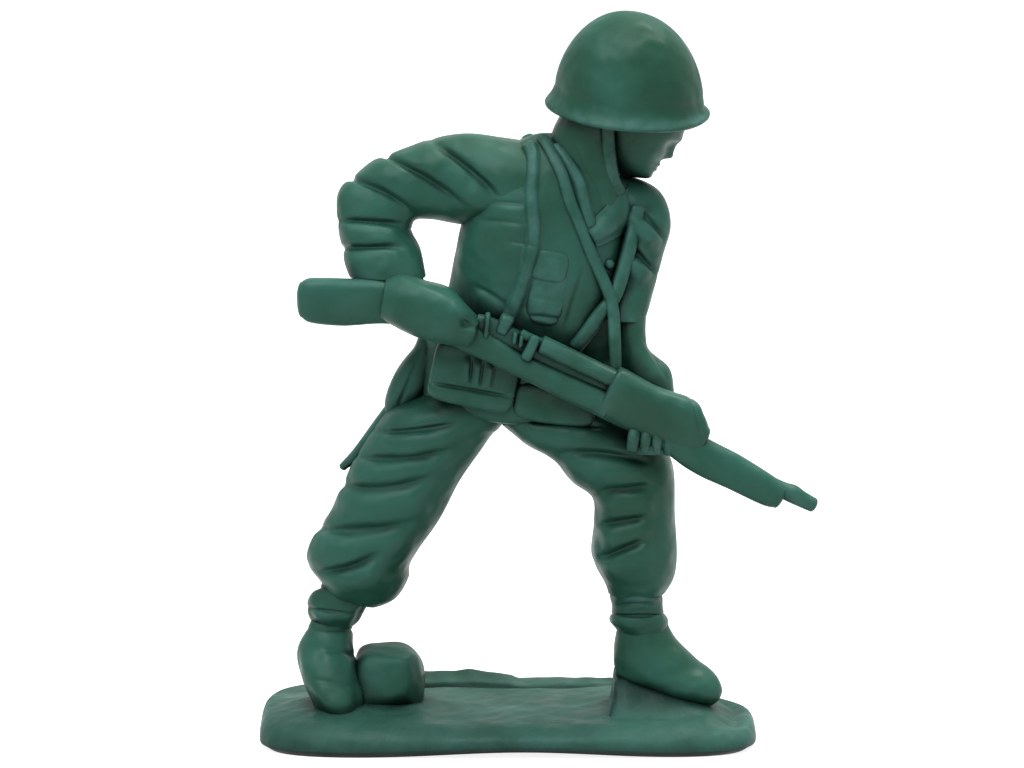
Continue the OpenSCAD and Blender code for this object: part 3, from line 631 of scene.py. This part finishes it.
# In front the cross strap stands off the jacket, so its line is given as points
CROSS = [
    (4.6, -3.9, 27.0), (5.5, -3.95, 28.15), (6.45, -3.9, 29.5), (7.55, -3.6, 30.9),
    (8.4, -2.9, 33.4), (8.95, -2.35, 35.6), (9.3, -1.9, 37.3),
]
cross = sweep(path(CROSS, 120), unit(np.array([0.35, -1, 0])), 0.55, 0.45, 2.4, ends=0.4)
piece("cross_strap_strap", cross, ["cross_strap"])
CROSS_BEHIND = [(5.9, 0.9), (5.2, 0.66), (4, 0.4), (2.6, 0.12), (1.3, -0.1)]
piece("cross_strap_back_strap", strap(CROSS_BEHIND, 0.5, 0.45, side=1), ["cross_strap"])

RIGHT_LAPEL = [(7.5, -0.62), (6.9, -0.22), (6.1, 0.1), (5.4, 0.33), (4.6, 0.53)]
piece("right_lapel_cloth", strap(RIGHT_LAPEL, 0.45, 0.4), ["right_lapel"])
# The left lapel widens to its end
LEFT_LAPEL = [(4.4, 0.52), (4.8, 0.76), (5.25, 0.99)]
lapel_width = np.linspace(0.55, 1.1, STRAP_POINTS)
piece("left_lapel_cloth", strap(LEFT_LAPEL, lapel_width, 0.5, 0.1, edge=3.0), ["left_lapel"])

# Middles of the pocket and of the button
spot, _ = on_jacket(np.array([2.9, 3.8]), np.array([0.06, 0.75]))
POCKET_TILT = 10
pocket = block(spot[0] + [0.0, 0.3, 0], (2.7, 0.9, 5.3), POCKET_TILT, 120, 200, 3.2, 4.0)
pocket = folds(pocket, [
    (1.4, 27.6, 4.0, 27.2, 0.5, 0.12, 0.9, 0.1),
    (1.4, 28.9, 3.6, 28.5, 0.5, 0.08, 0.6, 0.1),
])
piece("breast_pocket_cloth", pocket, ["breast_pocket"])
flap = block(spot[0] + [0.05, 0.17, 1.55], (2.7, 0.95, 2.3), POCKET_TILT, 60, 140, 3.4, 4.0)
piece("breast_pocket_flap", flap, ["breast_pocket"])
button = block(spot[1], (0.8, 0.7, 0.8), 0, 40, 48, 2.0, 2.0)
piece("jacket_button_knob", button, ["jacket_button"])

# The belt goes round the jacket's own section at the waist: steps up and growth of that section
BELT = [(-0.6, 0.1), (-0.5, 0.28), (0.5, 0.28), (0.6, 0.1)]
waist = spline(JACKET, np.array([1.15]))[0]
belt = [waist + [0, 0, step, 0, growth, growth] for step, growth in BELT]
piece("belt_webbing", loft(belt, 30, 200), ["belt"])

# Places of the right and of the left pouch
pouch_spot, _ = on_jacket(np.array([0.72, 0.4]), np.array([-0.5, 0.54]))
right_pouch = block(pouch_spot[0] + [0.45, -0.05, 0.15], (6.3, 1.7, 4.5), 12, 140, 280)
right_pouch = folds(right_pouch, [
    (-2.9, 25.2, -3.0, 23.4, 0.2, 0.24, 0.7, 0.0),
    (-2.1, 25.0, -2.3, 23.2, 0.2, 0.24, 0.7, 0.0),
    (-1.2, 24.8, -1.5, 23.1, 0.2, 0.24, 0.7, 0.0),
    (-5.6, 23.0, 0.0, 22.0, 0.35, 0.16, 1.3, 0.0),
])
piece("right_pouch_canvas", right_pouch, ["right_pouch"])
left_pouch = block(pouch_spot[1] + [-0.25, -0.1, 0.5], (6.0, 1.6, 2.9), 10, 100, 200, 3.8, 4.0)
piece("left_pouch_canvas", waver(left_pouch, 4.0, 0.06), ["left_pouch"])

frog = loft([
    (-5.65, 0.2, 27.2, 243, 0.9, 1.2),
    (-6.05, 0.2, 25.97, 241, 0.95, 1.4),
    (-7.08, 0.3, 23.95, 243, 1.26, 1.4),
    (-8.02, 0.4, 22.26, 240, 1.02, 1.1),
    (-8.6, 0.4, 21.5, 236, 0.5, 0.8),
], 90, 80, power=2.6, caps=(0.2, 0.2))
frog = folds(frog, [(-6.9, 25.6, -8.4, 22.0, 0.4, 0.14, 0.8, 0.0)])
piece("bayonet_frog_canvas", frog, ["bayonet_frog"])
piece("bayonet_scabbard_shell", loft([
    (-7.9, 0.5, 22.6, 236, 0.55, 0.8),
    (-9.3, 0.6, 20.7, 234, 0.55, 0.8),
    (-10.9, 0.8, 18.6, 232, 0.45, 0.7),
    (-12.05, 0.9, 17.5, 230, 0.3, 0.4),
], 80, 60, power=2.4, caps=(0.0, 0.25)), ["bayonet_scabbard"])


# Boots and gaiters

right_gaiter = loft([
    (-11.6, 0, 8.7, 246, 1.8, 1.9),
    (-12.1, 0, 8.0, 248, 1.9, 1.9),
    (-12.7, 0, 7.1, 258, 1.95, 2.0),
    (-12.8, 0, 6.1, 265, 1.5, 1.65),
    (-12.9, 0, 5.6, 266, 1.2, 1.4),
], 110, 110)
right_gaiter = folds(right_gaiter, [
    (-14.8, 7.9, -11.0, 8.2, 0.35, 0.16, 0.9, 0.1),
    (-14.8, 6.7, -11.2, 6.3, 0.35, 0.18, 0.9, -0.1),
])
piece("right_gaiter_canvas", waver(right_gaiter, 2.4, 0.16), ["right_gaiter"])

left_gaiter = loft([
    (9.3, -1, 8.9, 268, 1.9, 1.9),
    (9.4, -1, 7.7, 270, 1.82, 1.85),
    (9.4, -1, 6.8, 271, 2.0, 2.0),
    (9.5, -1, 6.4, 271, 2.1, 2.05),
    (9.7, -1, 5.9, 272, 1.9, 1.9),
    (9.8, -1, 5.4, 274, 1.6, 1.6),
], 120, 110)
left_gaiter = folds(left_gaiter, [
    (7.2, 7.9, 11.2, 7.7, 0.28, 0.16, 0.9, 0.1),
    (7.2, 6.3, 11.4, 6.3, 0.28, 0.18, 0.9, -0.1),
    (8.0, 7.0, 10.6, 7.2, 0.22, 0.1, 0.9, 0.1),
])
piece("left_gaiter_canvas", waver(left_gaiter, 2.6, 0.09, 1.0), ["left_gaiter"])

right_boot = loft([
    (-12.9, 0, 6.2, 265, 1.5, 1.6),
    (-13.3, -0.3, 4.8, 268, 1.85, 2.0),
    (-13.3, -0.8, 3.5, 270, 2.1, 2.4),
    (-13.0, -1.5, 2.1, 272, 2.05, 2.6),
    (-12.5, -2.0, 0.9, 274, 1.85, 2.6),
    (-12.3, -2.2, -0.4, 276, 1.6, 2.3),
], 130, 120)
right_boot = folds(right_boot, [
    (-14.8, 5.0, -11.0, 4.9, 0.4, 0.14, 0.8, 0.0),
    (-13.6, 3.3, -11.2, 2.7, 0.6, 0.14, 1.2, 0.1),
    (-14.2, 1.2, -11.4, 0.6, 0.6, 0.1, 0.8, 0.0),
])
piece("right_boot_leather", waver(right_boot, 2.6, 0.12), ["right_boot"])

left_boot = loft([
    (9.75, -1, 6.1, 272, 1.85, 1.8),
    (9.95, -1, 4.8, 276, 2.3, 2.1),
    (10.45, -1.1, 3.6, 279, 2.8, 2.3),
    (11.0, -1.15, 2.8, 282, 2.95, 2.35),
    (12.15, -1.3, 2.25, 285, 2.55, 2.3),
    (13.3, -1.5, 1.6, 290, 2.05, 2.1),
    (14.3, -1.6, 0.9, 294, 1.4, 1.6),
    (14.75, -1.6, 0.45, 296, 0.75, 0.9),
], 140, 130)
piece("left_boot_leather", waver(left_boot, 4.0, 0.05, 1.0), ["left_boot"])


# Hands

right_hand = loft([
    (-8.9, -4.3, 31.0, -10, 1.5, 1.7),
    (-8.0, -4.6, 30.9, -14, 1.85, 2.0),
    (-6.6, -4.9, 30.4, -20, 1.95, 2.1),
    (-5.0, -5.1, 29.9, -24, 2.0, 2.1),
    (-3.6, -5.2, 29.1, -26, 1.5, 1.9),
    (-2.7, -5.1, 28.6, -28, 1.15, 1.5),
], 150, 130, power=2.6, caps=(0.25, 0.45))
right_hand = folds(right_hand, [
    (-7.4, 30.1, -3.0, 28.1, 0.6, 0.2, 0.2, 0.2),
    (-4.0, 27.6, -2.2, 26.8, 0.4, 0.12, 0.9, 0.0),
])
right_hand = dents(right_hand, [(-3.0, 27.5, 0.5, 0.4), (-7.6, 28.2, 1.0, 0.15)])
piece("right_hand_skin", waver(right_hand, 4.0, 0.05), ["right_hand"])
piece("right_wrist_skin", loft([
    (-8.0, -2.8, 32.8, 270, 1.7, 1.5),
    (-7.7, -3.8, 31.4, 275, 1.8, 1.8),
    (-7.3, -4.3, 30.4, 280, 1.6, 1.8),
], 50, 80), ["right_hand"])

left_hand = loft([
    (8.8, -2.1, 29.4, 270, 1.1, 1.3),
    (8.95, -2.6, 27.1, 268, 1.08, 1.3),
    (9.85, -3.0, 25.2, 282, 1.75, 1.4),
    (10.45, -3.3, 23.4, 284, 1.52, 1.4),
    (10.4, -3.7, 21.6, 272, 1.6, 1.4),
    (10.3, -4.2, 20.5, 270, 1.7, 1.4),
    (10.3, -4.5, 19.7, 270, 1.7, 1.1),
], 130, 110)
left_hand = folds(left_hand, [(9.2, 26.4, 11.0, 23.4, 0.4, 0.14, 0.5, 0.0)])
piece("left_hand_skin", left_hand, ["left_hand"])
# Fingers side by side at the foot of the handguard, each a little lower than the last
for i in range(4):
    x, z = 9.05 + 0.84 * i, 20.0 - 0.1 * i
    piece("left_finger_%d_skin" % (i + 1), loft([
        (x, -5.55, z + 1.5, 262, 0.42, 0.3),
        (x - 0.05, -5.6, z + 1.05, 262, 0.47, 0.42),
        (x - 0.1, -5.35, z + 0.6, 262, 0.47, 0.6),
        (x - 0.14, -4.85, z, 262, 0.45, 0.8),
    ], 40, 32, power=2.0, caps=(0.2, 0.15)), ["left_hand"])


# Head and helmet

def head_grid(chin, bow, rows=170, cols=180):
    """Head about its own upright axis, bowed in the XZ plane.

    Up the axis the front, back and side radii follow a smooth table. Round it the section is half
    an ellipse in front and half of another behind. The features are bells in height and angle.
    """
    # Front, back and side radius in mm, at even steps from the chin up
    table = [
        (1.0, 0.8, 0.6), (2.1, 2.0, 1.4), (2.25, 3.0, 1.9), (2.3, 3.6, 2.3), (2.4, 3.9, 2.6),
        (2.55, 4.2, 2.9), (2.6, 4.2, 3.1), (2.3, 3.8, 2.8), (1.5, 2.6, 1.9), (0.3, 0.5, 0.4),
    ]
    tall, axis_behind_chin = 7.4, 1.9
    h = np.linspace(0, 1, rows)
    r = spline(table, h * (len(table) - 1))
    a = np.linspace(0, 2 * np.pi, cols, endpoint=False)
    c, s = np.cos(a), np.sin(a)
    fore = np.where(c > 0, r[:, :1], r[:, 1:2]) * c
    side = r[:, 2:3] * s
    turn = np.degrees((a + np.pi) % (2 * np.pi) - np.pi)[None]
    rise = np.zeros((rows, cols))
    # Height share, half height, angle, half angle and rise of the nose, its tip, the brow, the eye
    # hollows, the lips, the chin, the cheekbones and the eyelids
    for h0, hw, a0, aw, up in (
        (0.45, 0.08, 0, 12, 0.3), (0.385, 0.045, 0, 14, 0.36), (0.58, 0.05, 0, 48, 0.18),
        (0.50, 0.05, 26, 14, -0.25), (0.50, 0.05, -26, 14, -0.25), (0.265, 0.025, 0, 24, 0.16),
        (0.21, 0.028, 0, 22, 0.16), (0.09, 0.07, 0, 28, 0.25), (0.40, 0.08, 44, 22, 0.12),
        (0.40, 0.08, -44, 22, 0.12), (0.50, 0.025, 26, 10, 0.12), (0.50, 0.025, -26, 10, 0.12),
    ):
        rise += up * np.exp(-((h[:, None] - h0) / hw) ** 2 - ((turn - a0) / aw) ** 2)
    level = np.repeat((h * tall)[:, None], cols, 1)
    fore, side = fore + rise * c, side + rise * s
    b = math.radians(bow)
    fore = fore - axis_behind_chin
    x = chin[0] + fore * math.cos(b) + level * math.sin(b)
    z = chin[2] - fore * math.sin(b) + level * math.cos(b)
    # The rings are turned round so that the faces look outward
    return np.stack([x, chin[1] - side, z], -1)[:, ::-1]


piece("head_skin", head_grid(chin=(9.4, -0.2, 38.5), bow=32), ["head"])
neck = loft([
    (6.0, -0.1, 44.2, 275, 1.95, 2.9),
    (5.45, -0.1, 41.8, 272, 2.4, 2.9),
    (6.1, -0.2, 39.6, 272, 1.85, 2.95),
    (6.5, -0.3, 37.6, 272, 1.7, 3.0),
    (6.7, -0.3, 35.6, 272, 1.4, 2.8),
], 110, 140, power=2.8)
neck = folds(neck, [(4.4, 40.0, 5.9, 35.6, 0.5, 0.12, 0.5, 0.0)])
piece("neck_skin", neck, ["head"])

CHIN_STRAP = [
    (7.05, -2.95, 43.6), (7.1, -2.65, 42.0), (7.2, -2.6, 40.6),
    (7.45, -2.5, 39.2), (8.0, -2.2, 38.0),
]
chin_strap = sweep(path(CHIN_STRAP, 90), (0.45, -1.0, 0), 0.5, 0.36, 2.6)
piece("chin_strap_web", chin_strap, ["chin_strap"])


def helmet_grid(place, roll, pitch):
    """Helmet shell: rings from inside the rim, round its rolled edge and over the crown.

    In height against spread the crown is a superellipse, and it leans back a little. The rim
    flares out over the last millimetre, with a shallow groove above. The flare is taller and wider
    behind than in front, where the rim lifts a little. The whole is rolled about X, pitched about
    Y and put in its place.
    """
    crown_rows, edge_rows, cols = 160, 40, 260
    long, wide, tall, power, lean = 5.4, 4.65, 7.12, 2.12, 0.35
    flare, edge_out, edge_deep, front_lift = 0.56, 0.2, 0.24, 0.2
    up = np.linspace(0, 1, crown_rows)
    rise = np.sin(np.pi / 2 * up)
    spread = np.maximum(1 - rise ** power, 0) ** (1 / power)
    level = tall * rise
    curl = np.linspace(-np.pi * 0.95, 0, edge_rows, endpoint=False)
    a = np.linspace(0, 2 * np.pi, cols, endpoint=False)
    c, s = np.cos(a), np.sin(a)
    front, behind = np.clip(c, 0, 1) ** 2, np.clip(-c, 0, 1) ** 2
    bell = np.exp(-(level[:, None] / (0.62 - 0.3 * front)) ** 1.5)
    lip = flare * bell - 0.04 * np.exp(-((level - 1.35) / 0.3) ** 2)[:, None]
    r = np.concatenate([np.ones(edge_rows), spread])
    edge = np.repeat((flare - edge_out + edge_out * np.cos(curl))[:, None], cols, 1)
    out = np.concatenate([edge, lip])
    z = np.concatenate([edge_deep * np.sin(curl), level])
    more = 1 + 0.1 * behind - 0.22 * front
    x = (r[:, None] * long + out * more) * c - lean * z[:, None] / tall
    y = (r[:, None] * wide + out) * s
    lift = front_lift * front * np.concatenate([np.ones((edge_rows, cols)), bell])
    local = np.stack([x, y, z[:, None] + lift], -1)
    return local @ (turn_y(pitch) @ turn_x(roll)).T + np.array(place)


helmet = helmet_grid((8.6, -0.3, 44.0), roll=9, pitch=5)
piece("helmet_shell", waver(helmet, 7.0, 0.06), ["helmet"])


# Rifle

# Where the rifle's line passes the grip, and its angle over the level in degrees
GRIP = np.array([-3.2, -5.0, 28.4])
AIM = -26
AIM_RUN = np.array([math.cos(math.radians(AIM)), 0, math.sin(math.radians(AIM))])
AIM_UP = np.array([-math.sin(math.radians(AIM)), 0, math.cos(math.radians(AIM))])


def rifle(distance, rise, half_width, half_depth, y=0.0):
    """Station by the rifle's line: distance from the grip, rise over it, half sizes, step in Y."""
    p = GRIP + distance * AIM_RUN + rise * AIM_UP
    return (p[0], p[1] + y, p[2], AIM, half_width, half_depth)


piece("rifle_stock_body", waver(loft([
    (-14.8, -4.2, 30.75, 0, 1.3, 0.95),
    (-14.1, -4.2, 30.7, 0, 1.65, 1.05),
    (-11.8, -4.3, 30.6, 0, 1.75, 1.05),
    (-8.7, -4.5, 30.6, -2, 1.55, 1.05),
    (-6.0, -4.8, 29.9, -18, 1.15, 1.05),
    rifle(0, 0, 1.1, 0.95),
    rifle(4.6, -0.15, 0.92, 1.05),
    rifle(8, -0.15, 0.95, 1.05),
    rifle(11.6, -0.1, 1.05, 1.05),
], 220, 110, power=3.0, caps=(0.35, 0.0), lean=0.15), 6.0, 0.03), ["rifle_stock"])
handguard = loft([
    rifle(11.0, 0.8, 1.75, 1.2),
    rifle(11.4, 0.8, 2.0, 1.35),
    rifle(14, 0.75, 1.95, 1.35),
    rifle(16.9, 0.93, 2.03, 1.35),
    rifle(18.1, 0.6, 1.65, 1.2),
    rifle(18.8, 0.3, 1.3, 0.9),
], 150, 130, power=3.2, caps=(0.1, 0.3), lean=0.22)
handguard = folds(handguard, [
    (7.4, 23.4, 12.6, 21.0, 0.4, 0.1, -0.2, 0.0),
    (12.5, 22.4, 13.4, 19.0, 0.4, 0.12, 0.9, 0.0),
])
piece("rifle_handguard_body", waver(handguard, 5.0, 0.06), ["rifle_handguard"])
piece("rifle_fore_end_body", waver(loft([
    rifle(16.2, 0.0, 1.25, 0.9),
    rifle(17.5, -0.3, 1.25, 0.98),
    rifle(18.6, -0.45, 1.3, 0.98),
    rifle(20.0, -0.53, 1.32, 0.97),
    rifle(21.8, -0.55, 1.28, 0.95),
    rifle(24.6, -0.72, 1.12, 0.85),
    rifle(25.6, -0.72, 0.9, 0.75),
], 110, 90, power=2.6, caps=(0.0, 0.3)), 5.0, 0.03), ["rifle_fore_end"])
piece("rifle_barrel_tube", loft([
    rifle(23, -0.18, 0.62, 0.55),
    rifle(25.3, -0.2, 0.6, 0.55),
    rifle(26.3, -0.14, 0.68, 0.58),
    rifle(27.1, -0.2, 0.6, 0.55),
    rifle(28.0, -0.22, 0.54, 0.52),
], 80, 60, power=2.0, caps=(0.0, 0.3)), ["rifle_barrel"])
piece("rifle_receiver_body", loft([
    rifle(0.4, 0.9, 0.9, 0.6),
    rifle(2, 1.0, 1.0, 0.6),
    rifle(7, 0.9, 0.95, 0.6),
    rifle(12, 0.9, 0.9, 0.6),
], 80, 72, power=4.0, caps=(0.2, 0.0)), ["rifle_receiver"])
piece("rifle_bolt_tube", loft([
    rifle(3.7, 1.85, 0.42, 0.42, -0.5),
    rifle(5.0, 1.85, 0.42, 0.42, -0.5),
    rifle(5.25, 1.85, 0.66, 0.68, -0.5),
    rifle(5.6, 1.85, 0.68, 0.75, -0.5),
    rifle(8.5, 1.85, 0.68, 0.75, -0.5),
    rifle(12.1, 1.85, 0.68, 0.75, -0.5),
], 120, 72, power=2.0, caps=(0.2, 0.0)), ["rifle_bolt"])
HANDLE = [(2.0, -5.8, 28.45), (1.6, -6.05, 27.6), (1.15, -6.1, 26.7)]
handle = sweep(path(HANDLE, 60), (0, -1.0, 0), 0.38, 0.38, 2.5, 28)
piece("rifle_bolt_handle_lever", handle, ["rifle_bolt_handle"])
sight = block(rifle(2.3, 1.9, 0, 0)[:3], (1.0, 1.5, 1.5), -AIM, 50, 64, 4.0, 5.0)
piece("rifle_rear_sight_block", sight, ["rifle_rear_sight"])
# Rear of the action: one tall rib and two low ones, each a soft block (x, z, width, height)
RIBS = [(-1.55, 29.1, 0.45, 1.9), (0.45, 28.25, 0.4, 0.95), (0.9, 28.0, 0.4, 0.95)]
for i, (x, z, wide, tall) in enumerate(RIBS):
    rib = block((x, -5.5, z), (wide, 1.4, tall), 6, 40, 48, 3.0, 4.0)
    piece("rifle_action_rib_%d" % (i + 1), rib, ["rifle_receiver"])


# Ground

# Height of the bank's crest along X, over a level that is a little sunk, and height of the earth
# heaped under the front boot
CREST_X = (-9, -6.3, -4, -3, -1, 0.2, 0.8, 1.6, 4, 7.6, 8.8)
CREST = (0, 0.9, 0.85, 0.95, 0.75, 0.6, 0.3, 0.25, 0.35, 0.45, 0.2)
CREST_SUNK = 0.18
HEAP_X = (7.5, 8.6, 10.5, 12.5, 14.5, 16.5)
HEAP = (2.4, 2.4, 1.9, 1.3, 0.7, 0.0)


def ground_height(x, y):
    """Height of the ground over its level.

    The higher of two forms is taken: a low uneven bank along the back, which rises in two
    S-shaped steps behind a waving edge, and the earth heaped under the front boot. A groove in
    front of the bank is taken off. Bells near the rear boot and near the rock are added, and so
    are slow waves. The right end is sunk.
    """
    edge = y + 0.16 * np.sin(0.6 * x + 0.8) + 0.04 * np.sin(1.7 * x)
    back = 0.35 * smoothstep(5.25, 5.42, edge) + 0.65 * smoothstep(5.4, 6.9, edge)
    back = back * (1 - smoothstep(7.0, 7.7, y)) * (np.interp(x, CREST_X, CREST) - CREST_SUNK)
    groove = (0.5 + 0.15 * np.sin(0.7 * x)) * np.exp(-((edge - 5.0) / 0.32) ** 2)
    groove = groove * smoothstep(-7.5, -6, x) * (1 - smoothstep(5.5, 7.5, x))
    near_boot = 0.7 * np.exp(-((x + 12.8) / 2.6) ** 2 - ((y + 1.6) / 3.4) ** 2)
    near_rock = 0.6 * np.exp(-((x + 8.6) / 3.0) ** 2 - ((y + 0.2) / 3.0) ** 2)
    heap = np.interp(x, HEAP_X, HEAP) * smoothstep(7.45, 7.75, x)
    heap = heap * smoothstep(-5.2, -2.4, y) * (1 - smoothstep(1.0, 2.2, y))
    waves = 0.05 * np.sin(1.1 * x + 0.7 * y) * np.cos(0.9 * y)
    ripples = 0.025 * np.sin(2.9 * x - 1.3 * y) * np.sin(2.1 * y)
    sunk = 1.2 * smoothstep(13.6, 17.5, x)
    return np.maximum(back, heap) - groove + near_boot + near_rock + (waves + ripples) - sunk


def base_grid():
    """Base: superellipse rings from the middle of the underside, round the side and over the top.

    The side is a quarter of a superellipse that draws in from the foot to the level top. The
    underside and the foot are arched up about the middle by a bell along X.
    """
    under_rows, side_rows, top_rows, cols = 12, 60, 160, 420
    # Below the side there is one more ring, on the rounding of the foot
    low_rows = under_rows + 1
    foot, foot_round, foot_at_ends, side_low = 0.12, 0.05, 5.0, 0.4
    longer, shift, arch = 0.3, -0.05, 0.5
    a = np.linspace(0, 2 * np.pi, cols, endpoint=False)
    ahead, behind = np.clip(-np.sin(a), 0, 1) ** 2, np.clip(np.sin(a), 0, 1) ** 2
    right, left = np.clip(np.cos(a), 0, 1) ** 2, np.clip(-np.cos(a), 0, 1) ** 2
    draw_in = 2.2 * ahead + 0.5 * behind + 2.4 * right + 0.8 * left
    under = np.linspace(LEAST, 1, under_rows)
    turn = np.linspace(0, np.pi / 2, side_rows)
    inner = np.linspace(0.99, 0.01, top_rows)
    flat = np.zeros(top_rows)
    fixed = np.concatenate([
        np.full(under_rows, foot), [foot_round], np.zeros(side_rows), flat
    ])[:, None]
    drawn = np.concatenate([np.zeros(low_rows), 1 - np.cos(turn) ** 0.9, flat + 1])[:, None]
    inset = fixed * (1 + foot_at_ends * (right + left)) + drawn * draw_in
    share = np.concatenate([under, np.ones(1 + side_rows), inner])[:, None]
    level = np.concatenate([
        np.full(under_rows, -GROUND), [0.25 - GROUND],
        side_low - GROUND + (GROUND - side_low) * np.sin(turn) ** 0.9, flat,
    ])
    # Corner roundness: the two in front are the squarest, the right one behind is the roundest
    power = np.where(np.sin(a) < 0, 5.4, np.where(np.cos(a) > 0, 2.1, 3.2))
    c, s = superellipse(cols, power)
    x = share * (BASE_X + longer - inset) * c + shift
    y = share * (BASE_Y - inset) * s
    top = np.concatenate([np.zeros(low_rows), smoothstep(0.6, 1.5, turn), flat + 1])[:, None]
    warp = np.concatenate([np.ones(low_rows), 1 - smoothstep(0, 0.9, turn), flat])[:, None]
    z = level[:, None] + top * ground_height(x, y) + warp * arch * np.exp(-((x - 1) / 8) ** 2)
    return np.stack([x, y, z], -1)


piece("base_ground", base_grid(), ["base"], EARTH)

rock = loft([
    (-8.75, -0.4, -0.3, 90, 2.5, 2.6),
    (-8.75, -0.4, 0.6, 90, 2.6, 2.6),
    (-8.75, -0.3, 1.8, 90, 2.65, 2.5),
    (-8.75, -0.2, 3.2, 92, 2.6, 2.2),
    (-8.75, 0, 4.0, 92, 2.3, 1.8),
    (-8.8, 0.1, 4.35, 92, 1.7, 1.3),
], 120, 140, power=3.0, caps=(0.0, 0.12))
rock = cut(rock, [
    ((-0.1, -0.95, 0.2), (-8.7, -2.35, 2.2)),
    ((0.85, -0.5, 0.1), (-6.7, -1.4, 1.6)),
    ((-0.75, -0.3, 0.6), (-11.0, -0.5, 3.7)),
    ((0.7, 0.1, 0.7), (-6.75, 0, 3.8)),
    ((0.15, -0.85, -0.55), (-8.3, -2.6, 1.0)),
    ((0.05, -0.2, 1.0), (-8.8, -0.5, 4.25)),
], k=0.25)
piece("rock_stone", waver(rock, 3.0, 0.08), ["rock"])


# Stage, light and camera

def aim(obj, target):
    """Turns an object so that its own -Z points at a target in millimetres, with Y up."""
    way = Vector(np.array(target) * MM) - obj.location
    obj.rotation_euler = way.to_track_quat("-Z", "Y").to_euler()


def area_light(name, place, target, size, power, colour):
    """Square lamp at a place in millimetres, turned to a target, with its side in millimetres."""
    data = bpy.data.lights.new(name, "AREA")
    data.size = size * MM
    data.energy = power
    data.color = colour
    lamp = bpy.data.objects.new(name, data)
    lamp.location = np.array(place) * MM
    aim(lamp, target)
    bpy.context.scene.collection.objects.link(lamp)


def viewer_rays(tree):
    """1 for rays from the camera or sent on by a glossy or clear surface, otherwise 0."""
    rays = add(tree, "ShaderNodeLightPath")
    shown = rays.outputs["Is Camera Ray"]
    for name in ("Is Glossy Ray", "Is Transmission Ray"):
        links = [(0, shown), (1, rays.outputs[name])]
        shown = add(tree, MATH, links, operation="MAXIMUM").outputs[0]
    return shown


def white_floor(half):
    """Pale floor: to the viewer mostly its own white, so the shadow stays light.

    As bounced light it is greyer. Half its side is in metres.
    """
    material = bpy.data.materials.new("pale_floor")
    material.use_nodes = True
    tree = material.node_tree
    tree.nodes.remove(tree.nodes["Principled BSDF"])
    plain = add(tree, "ShaderNodeBsdfDiffuse", Color=(0.8, 0.8, 0.8, 1))
    grey = add(tree, "ShaderNodeBsdfDiffuse", Color=(0.45, 0.45, 0.45, 1))
    glow = add(tree, "ShaderNodeEmission", Color=(1, 1, 1, 1), Strength=0.86)
    both = add(tree, "ShaderNodeAddShader", [(0, plain.outputs[0]), (1, glow.outputs[0])])
    links = [("Fac", viewer_rays(tree)), (1, grey.outputs[0]), (2, both.outputs[0])]
    pick = add(tree, "ShaderNodeMixShader", links)
    tree.links.new(tree.nodes["Material Output"].inputs["Surface"], pick.outputs[0])
    corners = [(-half, -half, 0), (half, -half, 0), (half, half, 0), (-half, half, 0)]
    mesh = bpy.data.meshes.new("floor")
    mesh.from_pydata(corners, [], [(0, 1, 2, 3)])
    mesh.materials.append(material)
    floor = bpy.data.objects.new("floor", mesh)
    bpy.context.scene.collection.objects.link(floor)


def studio_world():
    """White to the viewer, and a soft even grey as light."""
    world = bpy.data.worlds.new("studio")
    world.use_nodes = True
    tree = world.node_tree
    soft = tree.nodes["Background"]
    soft.inputs["Color"].default_value = (1.0, 0.98, 0.9, 1)
    soft.inputs["Strength"].default_value = 0.19
    white = add(tree, "ShaderNodeBackground", Color=(1, 1, 1, 1), Strength=1.0)
    links = [("Fac", viewer_rays(tree)), (1, soft.outputs[0]), (2, white.outputs[0])]
    pick = add(tree, "ShaderNodeMixShader", links)
    tree.links.new(tree.nodes["World Output"].inputs["Surface"], pick.outputs[0])
    bpy.context.scene.world = world


# Middle of the picture, measured from the underside of the base, and the camera's distance from it
MIDDLE = np.array([0.25, 0.0, 26.0])
AWAY = 400

white_floor(1.5)
studio_world()
area_light("key", (-85, -180, 335), MIDDLE, size=320, power=1.32, colour=(0.86, 0.97, 1.0))
area_light("rear", (120, 60, 350), MIDDLE, size=180, power=1.0, colour=(0.97, 1.0, 0.96))

camera_data = bpy.data.cameras.new("camera")
camera_data.sensor_width = 36
camera_data.lens = 194
camera = bpy.data.objects.new("camera", camera_data)
camera.location = (MIDDLE + AWAY * np.array([0, -LOOK_COS, LOOK_SIN])) * MM
aim(camera, MIDDLE)
bpy.context.scene.collection.objects.link(camera)
bpy.context.scene.camera = camera
bpy.context.scene.view_settings.view_transform = "Standard"

bpy.context.view_layer.update()
